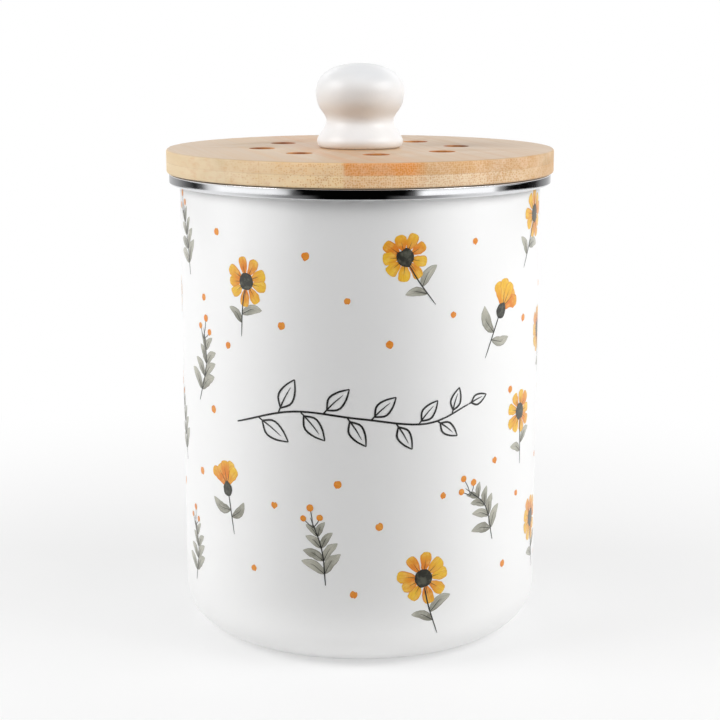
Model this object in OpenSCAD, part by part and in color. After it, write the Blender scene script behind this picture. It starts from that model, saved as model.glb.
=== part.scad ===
// Compost caddy with a lift-off bamboo lid.
// Origin: centre of the base on the table. +Z up, front towards -Y. Millimetres.
// The shell stands on a pressed foot ring. The lid drops into the mouth on a
// sealed plug ring, and carries the knob and a screw-in filter tray.

/* [Shell] */
// Outer diameter of the enamelled wall
body_d = 154; // [140:1:170]
// Height of the rim above the table
seat_h = 197.1; // [160:0.1:240]
// Thickness of the enamelled sheet
sheet_t = 1; // [0.8:0.1:1.4]
// Outer radius of the drawn bottom corner
corner_r = 18.5; // [10:0.5:24]
// Width of the flat ring that the shell stands on
foot_w = 8; // [5:0.5:12]
// Height of the pressed recess inside the foot ring
recess_h = 1.5; // [0.8:0.1:2.5]

/* [Rim band] */
// How far the band stands out from the wall
band_out = 4.4; // [3.6:0.1:6]
// Height of the rolled outer face
band_h = 4.3; // [4:0.1:6]
// Sheet thickness of the band
band_t = 0.6; // [0.4:0.1:0.8]
// Length of the band's leg inside the mouth
leg_h = 9; // [8:0.5:14]
// Radius of the band's lower outer corner
band_low_r = 1.6; // [1.2:0.1:2.2]
// Radius of the band's upper outer corner
band_top_r = 1; // [0.8:0.1:1.4]

/* [Lid board] */
// How far the board stands out past the rim band
lid_over = 1.1; // [0.4:0.1:3]
// Thickness of each glued ply
ply_t = 5; // [4.5:0.5:8]
// Rounding of the board's edges
edge_r = 1; // [0.4:0.1:2]
// Number of vent holes
vents = 8; // [5:1:9]
// Diameter of a vent hole
vent_d = 10.8; // [6:0.2:12]
// Angle of the first vent hole from +X
vent_turn = 9; // [0:1:44]

/* [Plug and seal] */
// Thickness of the plug ring
plug_w = 7; // [5:0.5:9]
// Height of the plug ring under the board
plug_h = 10; // [9:0.5:16]
// Space between the plug ring and the mouth
plug_gap = 3.35; // [2.8:0.05:4]
// Depth of the seal's groove in the plug ring
groove_depth = 2; // [1:0.1:2.5]
// Height of the seal's groove
groove_h = 4; // [3.6:0.1:5]
// Distance from the board down to the groove
groove_drop = 3; // [2:0.5:4]
// Thickness of each lip of the seal
lip_t = 0.8; // [0.5:0.1:1.1]
// How far the seal stays from the mouth's wall
seal_gap = 0.3; // [0.2:0.05:0.6]

/* [Knob] */
// Height of the knob above the board
knob_h = 35.5; // [32:0.5:44]
// Radius of the knob's ball
ball_r = 18.8; // [17:0.1:22]
// Height of the ball's widest line
ball_z = 23.5; // [21:0.1:26]
// Radius of the waist
waist_r = 14.4; // [11:0.1:16]
// Height of the waist
waist_z = 11.3; // [10:0.1:13]
// Radius of the foot
foot_r = 18.3; // [16.5:0.1:20]
// Height of the foot's widest line
foot_z = 2.8; // [1.5:0.1:3.5]
// Rounding under the foot
foot_round = 2.4; // [1:0.1:3]

/* [Knob fixing] */
// Thread diameter of the knob screw
screw_d = 5; // [4:0.5:6]
// Length of the knob screw's shank
screw_len = 16; // [13:0.5:18]
// Diameter of the screw's head
head_d = 9.4; // [8.5:0.1:11]
// Height of the screw's head
head_h = 2.4; // [1.8:0.1:2.6]
// Diameter of the washer
washer_d = 13; // [12:0.5:16]
// Thickness of the washer
washer_t = 1; // [0.6:0.1:1.2]
// Diameter of the brass insert
insert_d = 9; // [8:0.5:12]
// Length of the brass insert
insert_len = 12; // [9:0.5:14]

/* [Filter] */
// Thickness of the charcoal pad
pad_t = 8; // [6:0.5:12]
// How far the pad reaches past the vent holes
pad_over = 2.1; // [1:0.1:3]
// Air space between the board and the pad
air_gap = 3; // [2:0.5:6]
// Wall of the tray that holds the pad
tray_t = 1.6; // [1.2:0.1:2]
// Thickness of the tray's floor
floor_t = 2; // [1.6:0.1:3]
// Height of the tray's rim above its floor
tray_rim_h = 6; // [5.5:0.5:8]
// Wall of the cage that the tray screws into
cage_t = 1.8; // [1.4:0.1:2.4]
// Width of the cage's screw flange
flange_w = 9; // [8:0.5:9.5]
// Thickness of the cage's screw flange
flange_t = 2; // [1.8:0.1:3]
// Diameter of a hole in the tray's floor
hole_d = 6; // [3:0.5:7]
// Distance between the rings of holes in the tray's floor
hole_step = 11; // [9:0.5:14]
// Length of the finger grip under the tray
grip_len = 46; // [30:1:60]
// Width of the finger grip
grip_w = 5; // [4:0.5:8]
// Depth of the finger grip
grip_h = 8; // [6:0.5:12]

/* [Filter thread] */
// Drop of the tray in one full turn
pitch = 24; // [18:1:24]
// Number of ramps
ramps = 3; // [2:1:3]
// Angle that each ramp covers
ramp_span = 70; // [62:1:72]
// Angle that each lug covers
lug_span = 20; // [14:1:22]
// Height of a ramp
ramp_h = 1.6; // [1.2:0.1:2]
// Height of a lug
lug_h = 2; // [1.6:0.1:2.2]
// Reach of a lug past the tray's wall
lug_out = 1.6; // [1.2:0.1:2.2]

/* [Cage screws] */
// Number of screws that hold the cage
cage_screws = 4; // [3:1:6]
// Diameter of a cage screw
wood_screw_d = 2.9; // [2.5:0.1:3.5]
// Diameter of a cage screw's head
wood_head_d = 5.6; // [5:0.1:6]
// Length of a cage screw
wood_screw_len = 6.4; // [5:0.1:6.6]

/* [Hidden] */
$fn = 144;

fit = 0.05;         // clearance between fixed pieces that nest
seat_gap = 0.3;     // clearance between the lid and the rim it rests on
run = 0.4;          // radial clearance of the screw-in tray
pad_play = 0.3;     // clearance of the pad in its tray
lug_lift = 0.25;    // clearance between a lug and its ramp
bore_clear = 0.25;  // clearance of a screw in its through hole
head_clear = 0.3;   // depth of the knob screw's head inside its counterbore
ring_gap = 0.8;     // space between the cage's flange and the plug ring
over = 1;           // how far a cutting shape runs past a face

// The shell and its rim, from the wall outwards and inwards.
body_r = body_d / 2;
inside_r = body_r - sheet_t;
mouth_r = inside_r - fit - band_t;
band_r = body_r + band_out;
lid_r = band_r + lid_over;
lip_gap = 0.4;      // space between the shell's lip and the band's outer face
lip_reach = band_out - band_t - fit - lip_gap;
lip_drop = 2.4;     // height of the lip's turned-down edge
inner_round = 0.2;  // least rounding inside a bend of sheet

// The board's levels.
under_z = seat_h + seat_gap;
seam_z = under_z + ply_t;
top_z = seam_z + ply_t;
seam_round = 0.15;  // rounding of each ply's edge at the glue line

// The rings under the board, from the mouth inwards to the vent holes.
plug_r = mouth_r - plug_gap;
plug_in_r = plug_r - plug_w;
flange_r = plug_in_r - ring_gap;
cage_r = flange_r - flange_w;
screw_ring_r = cage_r + flange_w / 2;
cage_in_r = cage_r - cage_t;
lug_r = cage_in_r - run;
tray_r = lug_r - lug_out;
ramp_in_r = tray_r + run;
tray_in_r = tray_r - tray_t;
pad_r = tray_in_r - pad_play;
vent_ring_r = pad_r - pad_over - vent_d / 2;

// The filter's levels, from the board downwards.
pad_z = under_z - air_gap - pad_t;
tray_floor_z = pad_z - pad_play;
floor_z = tray_floor_z - floor_t;
tray_top_z = tray_floor_z + tray_rim_h;
cage_lip = 1;       // how far the cage's wall reaches below the tray's floor
cage_low_z = floor_z - cage_lip;

// The lugs at their locked place, and the ramps under them.
lock_angle = 90;    // where the first lug stops
lug_climb = pitch * lug_span / 360;
lug_low_z = tray_top_z - lug_h - lug_climb;
ramp_top_z = lug_low_z - lug_lift;
ramp_step = 5;      // angle of one facet of a ramp
stop_gap = 1;       // angle between a locked lug and its stop
stop_span = 4;      // angle that a stop covers

// The knob's fixing.
counterbore_h = washer_t + head_h + head_clear;
counterbore_r = washer_d / 2 + bore_clear;
insert_r = insert_d / 2;
insert_sink = 0.4;  // the insert's face above the knob's foot
pocket_h = insert_sink + insert_len + over;

// A point on a cubic curve through two ends and their handles.
function bezier(a, b, c, d, t) =
    pow(1 - t, 3) * a + 3 * pow(1 - t, 2) * t * b + 3 * (1 - t) * t * t * c + pow(t, 3) * d;

// Points along a cubic curve, without its first end.
function curve(a, b, c, d, steps) = [for (i = [1:steps]) bezier(a, b, c, d, i / steps)];

// One quarter of a vessel's outline, with a round bottom corner.
module cup_outline(r, h, corner) {
    square([r - corner, h]);
    translate([0, corner]) square([r, h - corner]);
    intersection() {
        translate([r - corner, corner]) circle(corner);
        square([r, h]);
    }
}

// Cross-section of a ring from r1 to r2 and z1 to z2 whose two outer corners are round.
module rounded_ring_outline(r1, r2, z1, z2, low_r, high_r) {
    big = max(low_r, high_r);
    translate([r1, z1]) square([r2 - big - r1, z2 - z1]);
    translate([r1, z1 + low_r]) square([r2 - r1, z2 - high_r - z1 - low_r]);
    translate([r1, z1]) square([r2 - low_r - r1, low_r + fit]);
    translate([r1, z2 - high_r - fit]) square([r2 - high_r - r1, high_r + fit]);
    translate([r2 - low_r, z1 + low_r]) circle(low_r);
    translate([r2 - high_r, z2 - high_r]) circle(high_r);
}

// A short solid of rectangular section that climbs along a helix.
module helix_block(r1, r2, z, h, from, span) {
    steps = ceil(span / ramp_step);
    corners = [[r1, 0], [r2, 0], [r2, h], [r1, h]];
    points = [
        for (i = [0:steps], c = corners)
            let (a = from + span * i / steps, climb = pitch * span * i / steps / 360)
            [c[0] * cos(a), c[0] * sin(a), z + climb + c[1]]
    ];
    sides = [
        for (i = [0:steps - 1], j = [0:3])
            let (p = 4 * i + j, q = 4 * i + (j + 1) % 4)
            each [[p, q, p + 4], [q, q + 4, p + 4]]
    ];
    first = [[0, 2, 1], [0, 3, 2]];
    last = [for (f = first) [for (k = [2:-1:0]) f[k] + 4 * steps]];
    polyhedron(points, concat(sides, first, last), convexity = 6);
}

module vent_holes() {
    for (i = [0:vents - 1])
        rotate(vent_turn + i * 360 / vents)
            translate([vent_ring_r, 0, under_z - over])
                cylinder(d = vent_d, h = 2 * (ply_t + over));
}

module around_cage_screws() {
    for (i = [0:cage_screws - 1])
        rotate((i + 0.5) * 360 / cage_screws) translate([screw_ring_r, 0, 0]) children();
}

module enamel_shell() {
    foot_in = body_r - corner_r - foot_w;
    bend = sheet_t * (sqrt(2) - 1);
    lip_top = seat_h - band_t - fit;
    color("#f4f4f2") rotate_extrude() {
        difference() {
            cup_outline(body_r, lip_top, corner_r);
            difference() {
                translate([0, sheet_t])
                    cup_outline(inside_r, lip_top, corner_r - sheet_t);
                polygon([
                    [0, 0], [foot_in + bend + sheet_t, 0],
                    [foot_in + bend - recess_h, sheet_t + recess_h], [0, sheet_t + recess_h]
                ]);
            }
            polygon([
                [0, -over], [foot_in + over, -over], [foot_in, 0],
                [foot_in - recess_h, recess_h], [0, recess_h]
            ]);
        }
        translate([inside_r, lip_top - sheet_t]) square([sheet_t + lip_reach, sheet_t]);
        translate([body_r + lip_reach - sheet_t, lip_top - lip_drop])
            square([sheet_t, lip_drop]);
    }
}

module rim_band() {
    low_z = seat_h - band_h;
    leg_out = inside_r - fit;
    color("#c9cbce") rotate_extrude() {
        difference() {
            rounded_ring_outline(body_r + fit, band_r, low_z, seat_h, band_low_r, band_top_r);
            rounded_ring_outline(
                body_r - over, band_r - band_t, low_z + band_t, seat_h - band_t,
                band_low_r - band_t, max(band_top_r - band_t, inner_round)
            );
        }
        translate([mouth_r, seat_h - band_t]) square([band_r - band_top_r - mouth_r, band_t]);
        translate([mouth_r, seat_h - leg_h]) square([leg_out - mouth_r, leg_h]);
    }
}

// A round board with its two outer edges rounded by low_r and high_r.
module board(z, low_r, high_r) {
    rotate_extrude() rounded_ring_outline(0, lid_r, z, z + ply_t, low_r, high_r);
}

module lid_top_ply() {
    color("#dfbb86") difference() {
        board(seam_z, seam_round, edge_r);
        vent_holes();
        translate([0, 0, seam_z - over])
            cylinder(d = screw_d + 2 * bore_clear, h = ply_t + 2 * over);
    }
}

module lid_bottom_ply() {
    color("#e6c794") difference() {
        board(under_z, edge_r, seam_round);
        vent_holes();
        translate([0, 0, under_z - over])
            cylinder(d = screw_d + 2 * bore_clear, h = ply_t + 2 * over);
        translate([0, 0, under_z - over]) cylinder(r = counterbore_r, h = counterbore_h + over);
        around_cage_screws() translate([0, 0, under_z - over])
            cylinder(d = wood_screw_d + 2 * fit, h = wood_screw_len - flange_t + fit + over);
    }
}

module plug_ring() {
    chamfer = 1;
    low_z = under_z - plug_h;
    groove_z = under_z - groove_drop - groove_h;
    color("#dcb67e") rotate_extrude() difference() {
        polygon([
            [plug_in_r, low_z], [plug_r - chamfer, low_z], [plug_r, low_z + chamfer],
            [plug_r, under_z], [plug_in_r, under_z]
        ]);
        translate([plug_r - groove_depth, groove_z]) square([groove_depth + over, groove_h]);
    }
}

module seal_ring() {
    groove_z = under_z - groove_drop - groove_h;
    base_in = plug_r - groove_depth + fit;
    reach = mouth_r - seal_gap;
    base_out = plug_r + 0.6;  // the band that joins the two lips
    droop = 0.7;              // how far each lip's edge hangs below its root
    edge_t = 0.6 * lip_t;
    color("#eceeea") rotate_extrude() {
        translate([base_in, groove_z + fit]) square([base_out - base_in, groove_h - 2 * fit]);
        for (z = [groove_z + groove_h - fit - lip_t, groove_z + fit + droop])
            polygon([
                [plug_r, z], [reach, z - droop], [reach, z - droop + edge_t],
                [plug_r, z + lip_t]
            ]);
    }
}

// The knob's half outline. Each pull is a share of its stretch that a curve's handle reaches.
module knob_profile() {
    base_r = foot_r - foot_round;
    round_pull = 0.55;
    low = waist_z - foot_z;
    mid = ball_z - waist_z;
    high = knob_h - ball_z;
    polygon(concat(
        [[0, 0], [base_r, 0]],
        curve(
            [base_r, 0], [base_r + foot_round * round_pull, 0],
            [foot_r, foot_z * (1 - round_pull)], [foot_r, foot_z], 6
        ),
        curve(
            [foot_r, foot_z], [foot_r, foot_z + 0.27 * low],
            [waist_r, waist_z - 0.31 * low], [waist_r, waist_z], 12
        ),
        curve(
            [waist_r, waist_z], [waist_r, waist_z + 0.32 * mid],
            [ball_r, ball_z - 0.65 * mid], [ball_r, ball_z], 14
        ),
        curve(
            [ball_r, ball_z], [ball_r, ball_z + 0.7 * high],
            [0.55 * ball_r, knob_h], [0, knob_h], 18
        )
    ));
}

module knob() {
    color("#f1f1ef") translate([0, 0, top_z]) difference() {
        rotate_extrude() knob_profile();
        translate([0, 0, -over]) cylinder(r = insert_r + fit, h = pocket_h + over);
    }
}

module knob_insert() {
    collar_h = 2;
    groove = 0.4;  // depth of the grooves between the collars
    color("#c9a24f") translate([0, 0, top_z + insert_sink]) difference() {
        union() {
            cylinder(r = insert_r - groove, h = insert_len);
            for (z = [0, (insert_len - collar_h) / 2, insert_len - collar_h])
                translate([0, 0, z]) cylinder(r = insert_r, h = collar_h);
        }
        translate([0, 0, -over]) cylinder(d = screw_d + 2 * fit, h = insert_len + 2 * over);
    }
}

module knob_washer() {
    color("#c4c6c9") translate([0, 0, under_z + counterbore_h - washer_t]) difference() {
        cylinder(d = washer_d, h = washer_t);
        translate([0, 0, -over])
            cylinder(d = screw_d + 2 * bore_clear, h = washer_t + 2 * over);
    }
}

// A cross-shaped driver recess, cut upwards from z = 0.
module cross_recess(width, slot, depth) {
    for (a = [0, 90]) rotate(a)
        translate([-width / 2, -slot / 2, -over]) cube([width, slot, depth + over]);
}

module knob_screw() {
    head_z = under_z + counterbore_h - washer_t - head_h;
    low_round = 0.8;
    top_round = 0.2;
    slot = 1.1;
    color("#b9bbbe") difference() {
        union() {
            translate([0, 0, head_z]) rotate_extrude()
                rounded_ring_outline(0, head_d / 2, 0, head_h, low_round, top_round);
            translate([0, 0, head_z + head_h / 2]) cylinder(d = screw_d, h = screw_len + head_h / 2);
        }
        translate([0, 0, head_z]) cross_recess(head_d / 2, slot, 0.6 * head_h);
    }
}

module filter_cage() {
    ramp_low_z = ramp_top_z - ramp_h;
    ramp_out_r = cage_in_r + cage_t / 2;
    run_down = ramp_span - lug_span;
    color("#e9ebec") difference() {
        union() {
            rotate_extrude() {
                translate([cage_in_r, cage_low_z]) square([cage_t, under_z - cage_low_z]);
                translate([cage_in_r, under_z - flange_t]) square([cage_t + flange_w, flange_t]);
            }
            for (i = [0:ramps - 1]) {
                end = lock_angle + i * 360 / ramps;
                helix_block(
                    ramp_in_r, ramp_out_r, ramp_low_z - pitch * run_down / 360, ramp_h,
                    end - ramp_span, ramp_span
                );
                rotate(end + stop_gap) rotate_extrude(angle = stop_span)
                    translate([ramp_in_r, ramp_low_z + lug_climb + ramp_h / 2])
                        square([ramp_out_r - ramp_in_r, ramp_h / 2 + lug_lift + lug_h]);
            }
        }
        around_cage_screws() translate([0, 0, under_z - flange_t - over]) {
            cylinder(d = wood_screw_d + 2 * bore_clear, h = flange_t + 2 * over);
            translate([0, 0, over]) cylinder(
                d1 = wood_head_d + 2 * fit, d2 = wood_screw_d + 2 * bore_clear,
                h = (wood_head_d - wood_screw_d) / 2
            );
        }
    }
}

module cage_screws_set() {
    head_cone_h = (wood_head_d - wood_screw_d) / 2;
    slot = 0.7;
    slot_depth = 0.8;
    color("#b9bbbe") around_cage_screws() translate([0, 0, under_z - flange_t]) difference() {
        union() {
            cylinder(d1 = wood_head_d, d2 = wood_screw_d, h = head_cone_h);
            cylinder(d = wood_screw_d, h = wood_screw_len);
        }
        cross_recess(wood_head_d / 2, slot, slot_depth);
    }
}

module filter_pad() {
    color("#2b2b2c") translate([0, 0, pad_z]) cylinder(r = pad_r, h = pad_t);
}

// The holes in the tray's floor: rings of 6, 12, 18 and so on, that leave the grip's bar whole.
module floor_holes() {
    margin = 1;
    spare = hole_d / 2 + margin;
    rings = floor((tray_in_r - spare) / hole_step);
    for (ring = [1:rings], i = [0:6 * ring - 1]) {
        a = (i + 0.5) * 60 / ring;
        x = ring * hole_step * cos(a);
        y = ring * hole_step * sin(a);
        under_grip = abs(y) < grip_w / 2 + spare && abs(x) < grip_len / 2 + spare;
        if (!under_grip) translate([x, y, floor_z - over]) cylinder(d = hole_d, h = floor_t + 2 * over);
    }
}

module filter_tray() {
    grip_r = grip_w / 2;
    color("#e9ebec") difference() {
        union() {
            translate([0, 0, floor_z]) difference() {
                cylinder(r = tray_r, h = tray_top_z - floor_z);
                translate([0, 0, floor_t]) cylinder(r = tray_in_r, h = tray_rim_h + over);
            }
            translate([-grip_len / 2 + grip_r, -grip_r, floor_z - grip_h])
                cube([grip_len - grip_w, grip_w, grip_h + floor_t / 2]);
            for (side = [-1, 1]) translate([side * (grip_len / 2 - grip_r), 0, floor_z - grip_h])
                cylinder(r = grip_r, h = grip_h + floor_t / 2);
            for (i = [0:ramps - 1]) helix_block(
                tray_r - tray_t / 2, lug_r, lug_low_z, lug_h,
                lock_angle + i * 360 / ramps - lug_span, lug_span
            );
        }
        floor_holes();
    }
}

enamel_shell();
rim_band();
lid_top_ply();
lid_bottom_ply();
plug_ring();
seal_ring();
knob();
knob_insert();
knob_washer();
knob_screw();
filter_cage();
cage_screws_set();
filter_pad();
filter_tray();
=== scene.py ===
"""Dresses the compost caddy: enamelled shell, polished rim, bamboo lid, glazed knob and filter.

Sizes are in metres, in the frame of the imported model: +Z up, front towards -Y, origin at the base's middle.
"""

import logging
import math
import random
from collections.abc import Callable, Iterator, Sequence
from contextlib import contextmanager
from dataclasses import dataclass
from enum import Enum
from functools import partial

import bmesh
import bpy
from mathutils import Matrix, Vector, noise


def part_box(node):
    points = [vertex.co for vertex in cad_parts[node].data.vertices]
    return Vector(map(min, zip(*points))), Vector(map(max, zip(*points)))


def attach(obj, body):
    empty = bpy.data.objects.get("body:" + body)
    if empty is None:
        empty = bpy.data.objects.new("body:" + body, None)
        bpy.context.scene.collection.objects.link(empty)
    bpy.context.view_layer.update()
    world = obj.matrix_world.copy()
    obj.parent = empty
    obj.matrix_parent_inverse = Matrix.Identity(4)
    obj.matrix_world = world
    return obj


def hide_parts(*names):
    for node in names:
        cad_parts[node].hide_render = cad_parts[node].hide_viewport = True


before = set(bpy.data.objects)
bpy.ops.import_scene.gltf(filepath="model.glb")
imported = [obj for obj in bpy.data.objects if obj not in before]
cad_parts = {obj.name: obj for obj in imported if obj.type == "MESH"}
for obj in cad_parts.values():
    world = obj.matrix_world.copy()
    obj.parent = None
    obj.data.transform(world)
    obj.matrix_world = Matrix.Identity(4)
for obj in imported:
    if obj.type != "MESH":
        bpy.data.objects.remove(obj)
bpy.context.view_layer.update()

LOG = logging.getLogger("caddy")
TINY = 1e-5
STROKE_MAP = "UVMap"
TINT = "tint"
NEAR_ONE = 0.9
SMOOTH_ANGLE = math.radians(35)

Piece = bpy.types.Object
Socket = bpy.types.NodeSocket
Feed = Socket | float | Sequence[float]
Colour = tuple[int, int, int]
Spot = tuple[float, float]
Test = Callable[[Vector, Vector], bool]


# Modelling by hand: selection, outlines and the operators that every piece uses.


class Part(Enum):
    """What an edit selects, by Blender's own names."""

    VERTEX = "VERT"
    EDGE = "EDGE"
    FACE = "FACE"


@dataclass(frozen=True)
class Corner:
    """One corner of a turned outline: distance from the axis, height and rounding."""

    r: float
    z: float
    rounding: float = 0.0


def deselect_all() -> None:
    """Leaves edit mode, with nothing selected."""
    if bpy.context.mode != "OBJECT":
        bpy.ops.object.mode_set(mode="OBJECT")
    bpy.ops.object.select_all(action="DESELECT")


def make_active(piece: Piece) -> None:
    """Selects one piece alone and makes it the active one."""
    deselect_all()
    piece.select_set(True)
    bpy.context.view_layer.objects.active = piece


@contextmanager
def editing(piece: Piece, whole: bool = False) -> Iterator[None]:
    """Opens a piece in edit mode, and closes it afterwards.

    Args:
        piece: The mesh object to edit.
        whole: Whether all of it is selected at the start, or nothing.
    """
    make_active(piece)
    bpy.ops.object.mode_set(mode="EDIT")
    bpy.ops.mesh.select_mode(type=Part.VERTEX.value)
    bpy.ops.mesh.select_all(action="SELECT" if whole else "DESELECT")
    yield
    bpy.ops.object.mode_set(mode="OBJECT")


def pick(piece: Piece, part: Part, test: Test) -> None:
    """Selects what passes a test, in the piece that is open in edit mode.

    Args:
        piece: The mesh object in edit mode.
        part: Whether edges or faces are selected.
        test: Takes a face's middle and its normal, or an edge's middle and its direction.
    """
    bpy.ops.mesh.select_mode(type=part.value)
    bpy.ops.mesh.select_all(action="DESELECT")
    shape = bmesh.from_edit_mesh(piece.data)
    if part is Part.FACE:
        found = [f for f in shape.faces if test(f.calc_center_median(), f.normal)]
    else:
        ends = [(e, e.verts[0].co, e.verts[1].co) for e in shape.edges]
        found = [e for e, a, b in ends if test((a + b) / 2, (b - a).normalized())]
    for element in found:
        element.select_set(True)
    shape.select_flush_mode()
    bmesh.update_edit_mesh(piece.data)


def round_edges(piece: Piece, radius: float, steps: int, test: Test) -> None:
    """Rounds the edges that pass a test, in the piece that is open in edit mode.

    Args:
        piece: The mesh object in edit mode.
        radius: The rounding.
        steps: Number of faces across the rounding.
        test: Takes an edge's middle and its direction.
    """
    pick(piece, Part.EDGE, test)
    bpy.ops.mesh.bevel(offset=radius, segments=steps, profile=0.5, affect="EDGES")


def apply_modifier(piece: Piece, kind: str, **settings: object) -> None:
    """Adds one modifier with these settings and applies it.

    Args:
        piece: The mesh object.
        kind: The modifier's type by Blender's name.
        **settings: The modifier's own properties.
    """
    made = piece.modifiers.new(kind.lower(), kind)
    for name, value in settings.items():
        setattr(made, name, value)
    make_active(piece)
    bpy.ops.object.modifier_apply(modifier=made.name)


def ease_edges(piece: Piece, width: float, steps: int, angle: float) -> None:
    """Bevels every edge of a piece that turns by more than an angle in degrees."""
    apply_modifier(piece, "BEVEL", width=width, segments=steps, limit_method="ANGLE",
                   angle_limit=math.radians(angle))


def smooth(piece: Piece, angle: float = SMOOTH_ANGLE) -> Piece:
    """Shades a piece smooth where its faces meet at less than an angle."""
    make_active(piece)
    bpy.ops.object.shade_smooth_by_angle(angle=angle)
    return piece


def join(pieces: Sequence[Piece], name: str) -> Piece:
    """Joins several meshes into the first one and names it."""
    deselect_all()
    for piece in pieces:
        piece.select_set(True)
    bpy.context.view_layer.objects.active = pieces[0]
    if len(pieces) > 1:
        bpy.ops.object.join()
    pieces[0].name = name
    return pieces[0]


def settle(piece: Piece) -> Piece:
    """Moves a piece's place, turn and size into its mesh, so that its object sits at the origin."""
    make_active(piece)
    bpy.ops.object.transform_apply(location=True, rotation=True, scale=True)
    return piece


def add_cylinder(name: str, radius: float, low: float, high: float, sides: int,
                 at: Spot = (0.0, 0.0)) -> Piece:
    """Adds an upright cylinder as a start.

    Args:
        name: The piece's name.
        radius: Its radius.
        low: Height of its lower face.
        high: Height of its upper face.
        sides: Number of its sides.
        at: Its axis in X and Y.

    Returns:
        The new mesh object, with its place in its mesh.
    """
    deselect_all()
    middle = (at[0], at[1], (low + high) / 2)
    bpy.ops.mesh.primitive_cylinder_add(
        vertices=sides, radius=radius, depth=high - low, location=middle, end_fill_type="NGON"
    )
    bpy.context.object.name = name
    return settle(bpy.context.object)


def rounded(corners: Sequence[Corner], steps: int = 5, closed: bool = False) -> list[Vector]:
    """Works out the points of an outline whose corners are round.

    Args:
        corners: The outline's corners in order.
        steps: Number of stretches in each round corner.
        closed: Whether the last corner leads back to the first.

    Returns:
        The points in the XZ plane, the first one again at the end where the outline is closed.
    """
    spots = [Vector((c.r, 0.0, c.z)) for c in corners]
    points: list[Vector] = []
    for i, (corner, spot) in enumerate(zip(corners, spots)):
        if corner.rounding == 0 or (not closed and i in (0, len(spots) - 1)):
            points.append(spot)
            continue
        back = (spots[i - 1] - spot).normalized()
        ahead = (spots[(i + 1) % len(spots)] - spot).normalized()
        half = back.angle(ahead) / 2
        middle = spot + (back + ahead).normalized() * corner.rounding / math.sin(half)
        first = spot + back * corner.rounding / math.tan(half) - middle
        last = spot + ahead * corner.rounding / math.tan(half) - middle
        arc = [first.slerp(last, k / steps).normalized() * corner.rounding for k in range(steps + 1)]
        points += [middle + spoke for spoke in arc]
    return points + points[:1] if closed else points


def polar(length: float, angle: float, start: Spot = (0.0, 0.0)) -> Spot:
    """Finds the place at a distance and an angle from a start."""
    return (start[0] + length * math.cos(angle), start[1] + length * math.sin(angle))


def ring_spots(count: int, radius: float, turned: float = 0.0, shift: float = 0.0) -> list[Spot]:
    """Lists even places round the axis.

    Args:
        count: How many there are.
        radius: Their distance from the axis.
        turned: The first one's angle, in radians from +X.
        shift: What is added to that angle, as a share of one step.

    Returns:
        The places in X and Y.
    """
    return [polar(radius, turned + (i + shift) * math.tau / count) for i in range(count)]


def bezier(ends: Sequence[Spot], steps: int) -> list[Vector]:
    """Works out points along one cubic curve, without its first end.

    Args:
        ends: The first end, its handle, the last end's handle and the last end, as radius and height.
        steps: Number of stretches.

    Returns:
        The points in the XZ plane.
    """
    a, b, c, d = (Vector((r, 0.0, z)) for r, z in ends)
    points = []
    for i in range(1, steps + 1):
        t = i / steps
        points.append((1 - t) ** 3 * a + 3 * (1 - t) ** 2 * t * b + 3 * (1 - t) * t * t * c + t**3 * d)
    return points


def trace(name: str, points: Sequence[Vector]) -> Piece:
    """Draws an open outline: one vertex that is extruded from point to point.

    Args:
        name: The piece's name.
        points: The outline's points.

    Returns:
        The new mesh object, with edges alone.
    """
    deselect_all()
    bpy.ops.mesh.primitive_plane_add(size=0.001)
    piece = bpy.context.object
    piece.name = name
    with editing(piece, whole=True):
        bpy.ops.mesh.merge(type="CENTER")
        bpy.ops.transform.translate(value=points[0])
        for before, after in zip(points, points[1:]):
            bpy.ops.mesh.extrude_vertices_move(TRANSFORM_OT_translate={"value": after - before})
    return settle(piece)


def turn(name: str, points: Sequence[Vector], sides: int) -> Piece:
    """Turns an outline about the Z axis, as on a lathe, with its widest face looking outwards.

    Args:
        name: The piece's name.
        points: The outline in the XZ plane.
        sides: Number of steps in the full turn.

    Returns:
        The turned mesh object.
    """
    piece = trace(name, points)
    with editing(piece, whole=True):
        bpy.ops.mesh.spin(steps=sides, angle=math.tau, center=(0, 0, 0), axis=(0, 0, 1))
        bpy.ops.mesh.select_all(action="SELECT")
        bpy.ops.mesh.remove_doubles(threshold=TINY / 10)
        bpy.ops.mesh.normals_make_consistent(inside=False)
    widest = max(piece.data.polygons, key=lambda face: face.center.xy.length * face.normal.xy.length)
    if widest.normal.xy.dot(widest.center.xy) < 0:
        with editing(piece, whole=True):
            bpy.ops.mesh.flip_normals()
    return smooth(piece)


def cut(piece: Piece, cutter: Piece) -> None:
    """Cuts one mesh out of another and removes the cutter."""
    apply_modifier(piece, "BOOLEAN", operation="DIFFERENCE", solver="EXACT", object=cutter)
    bpy.data.objects.remove(cutter)


def unite(piece: Piece, other: Piece) -> None:
    """Unites a second mesh with the first one and removes the second."""
    apply_modifier(piece, "BOOLEAN", operation="UNION", solver="EXACT", use_self=True, object=other)
    bpy.data.objects.remove(other)


def install(piece: Piece, body: str, slot: str, finish: "Finish", *nodes: str) -> Piece:
    """Dresses a piece, lets it ride on its body and reports it.

    Args:
        piece: The finished mesh object.
        body: The body that it moves with.
        slot: The record's material slot; not used.
        finish: The finish that it wears.
        *nodes: The nodes that it stands for.

    Returns:
        The same piece.
    """
    piece.data.materials.clear()
    piece.data.materials.append(finish.material())
    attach(piece, body)
    if nodes:
        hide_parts(*nodes)
    LOG.info("%s: %d faces, rides on %s", piece.name, len(piece.data.polygons), body)
    return piece


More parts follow.
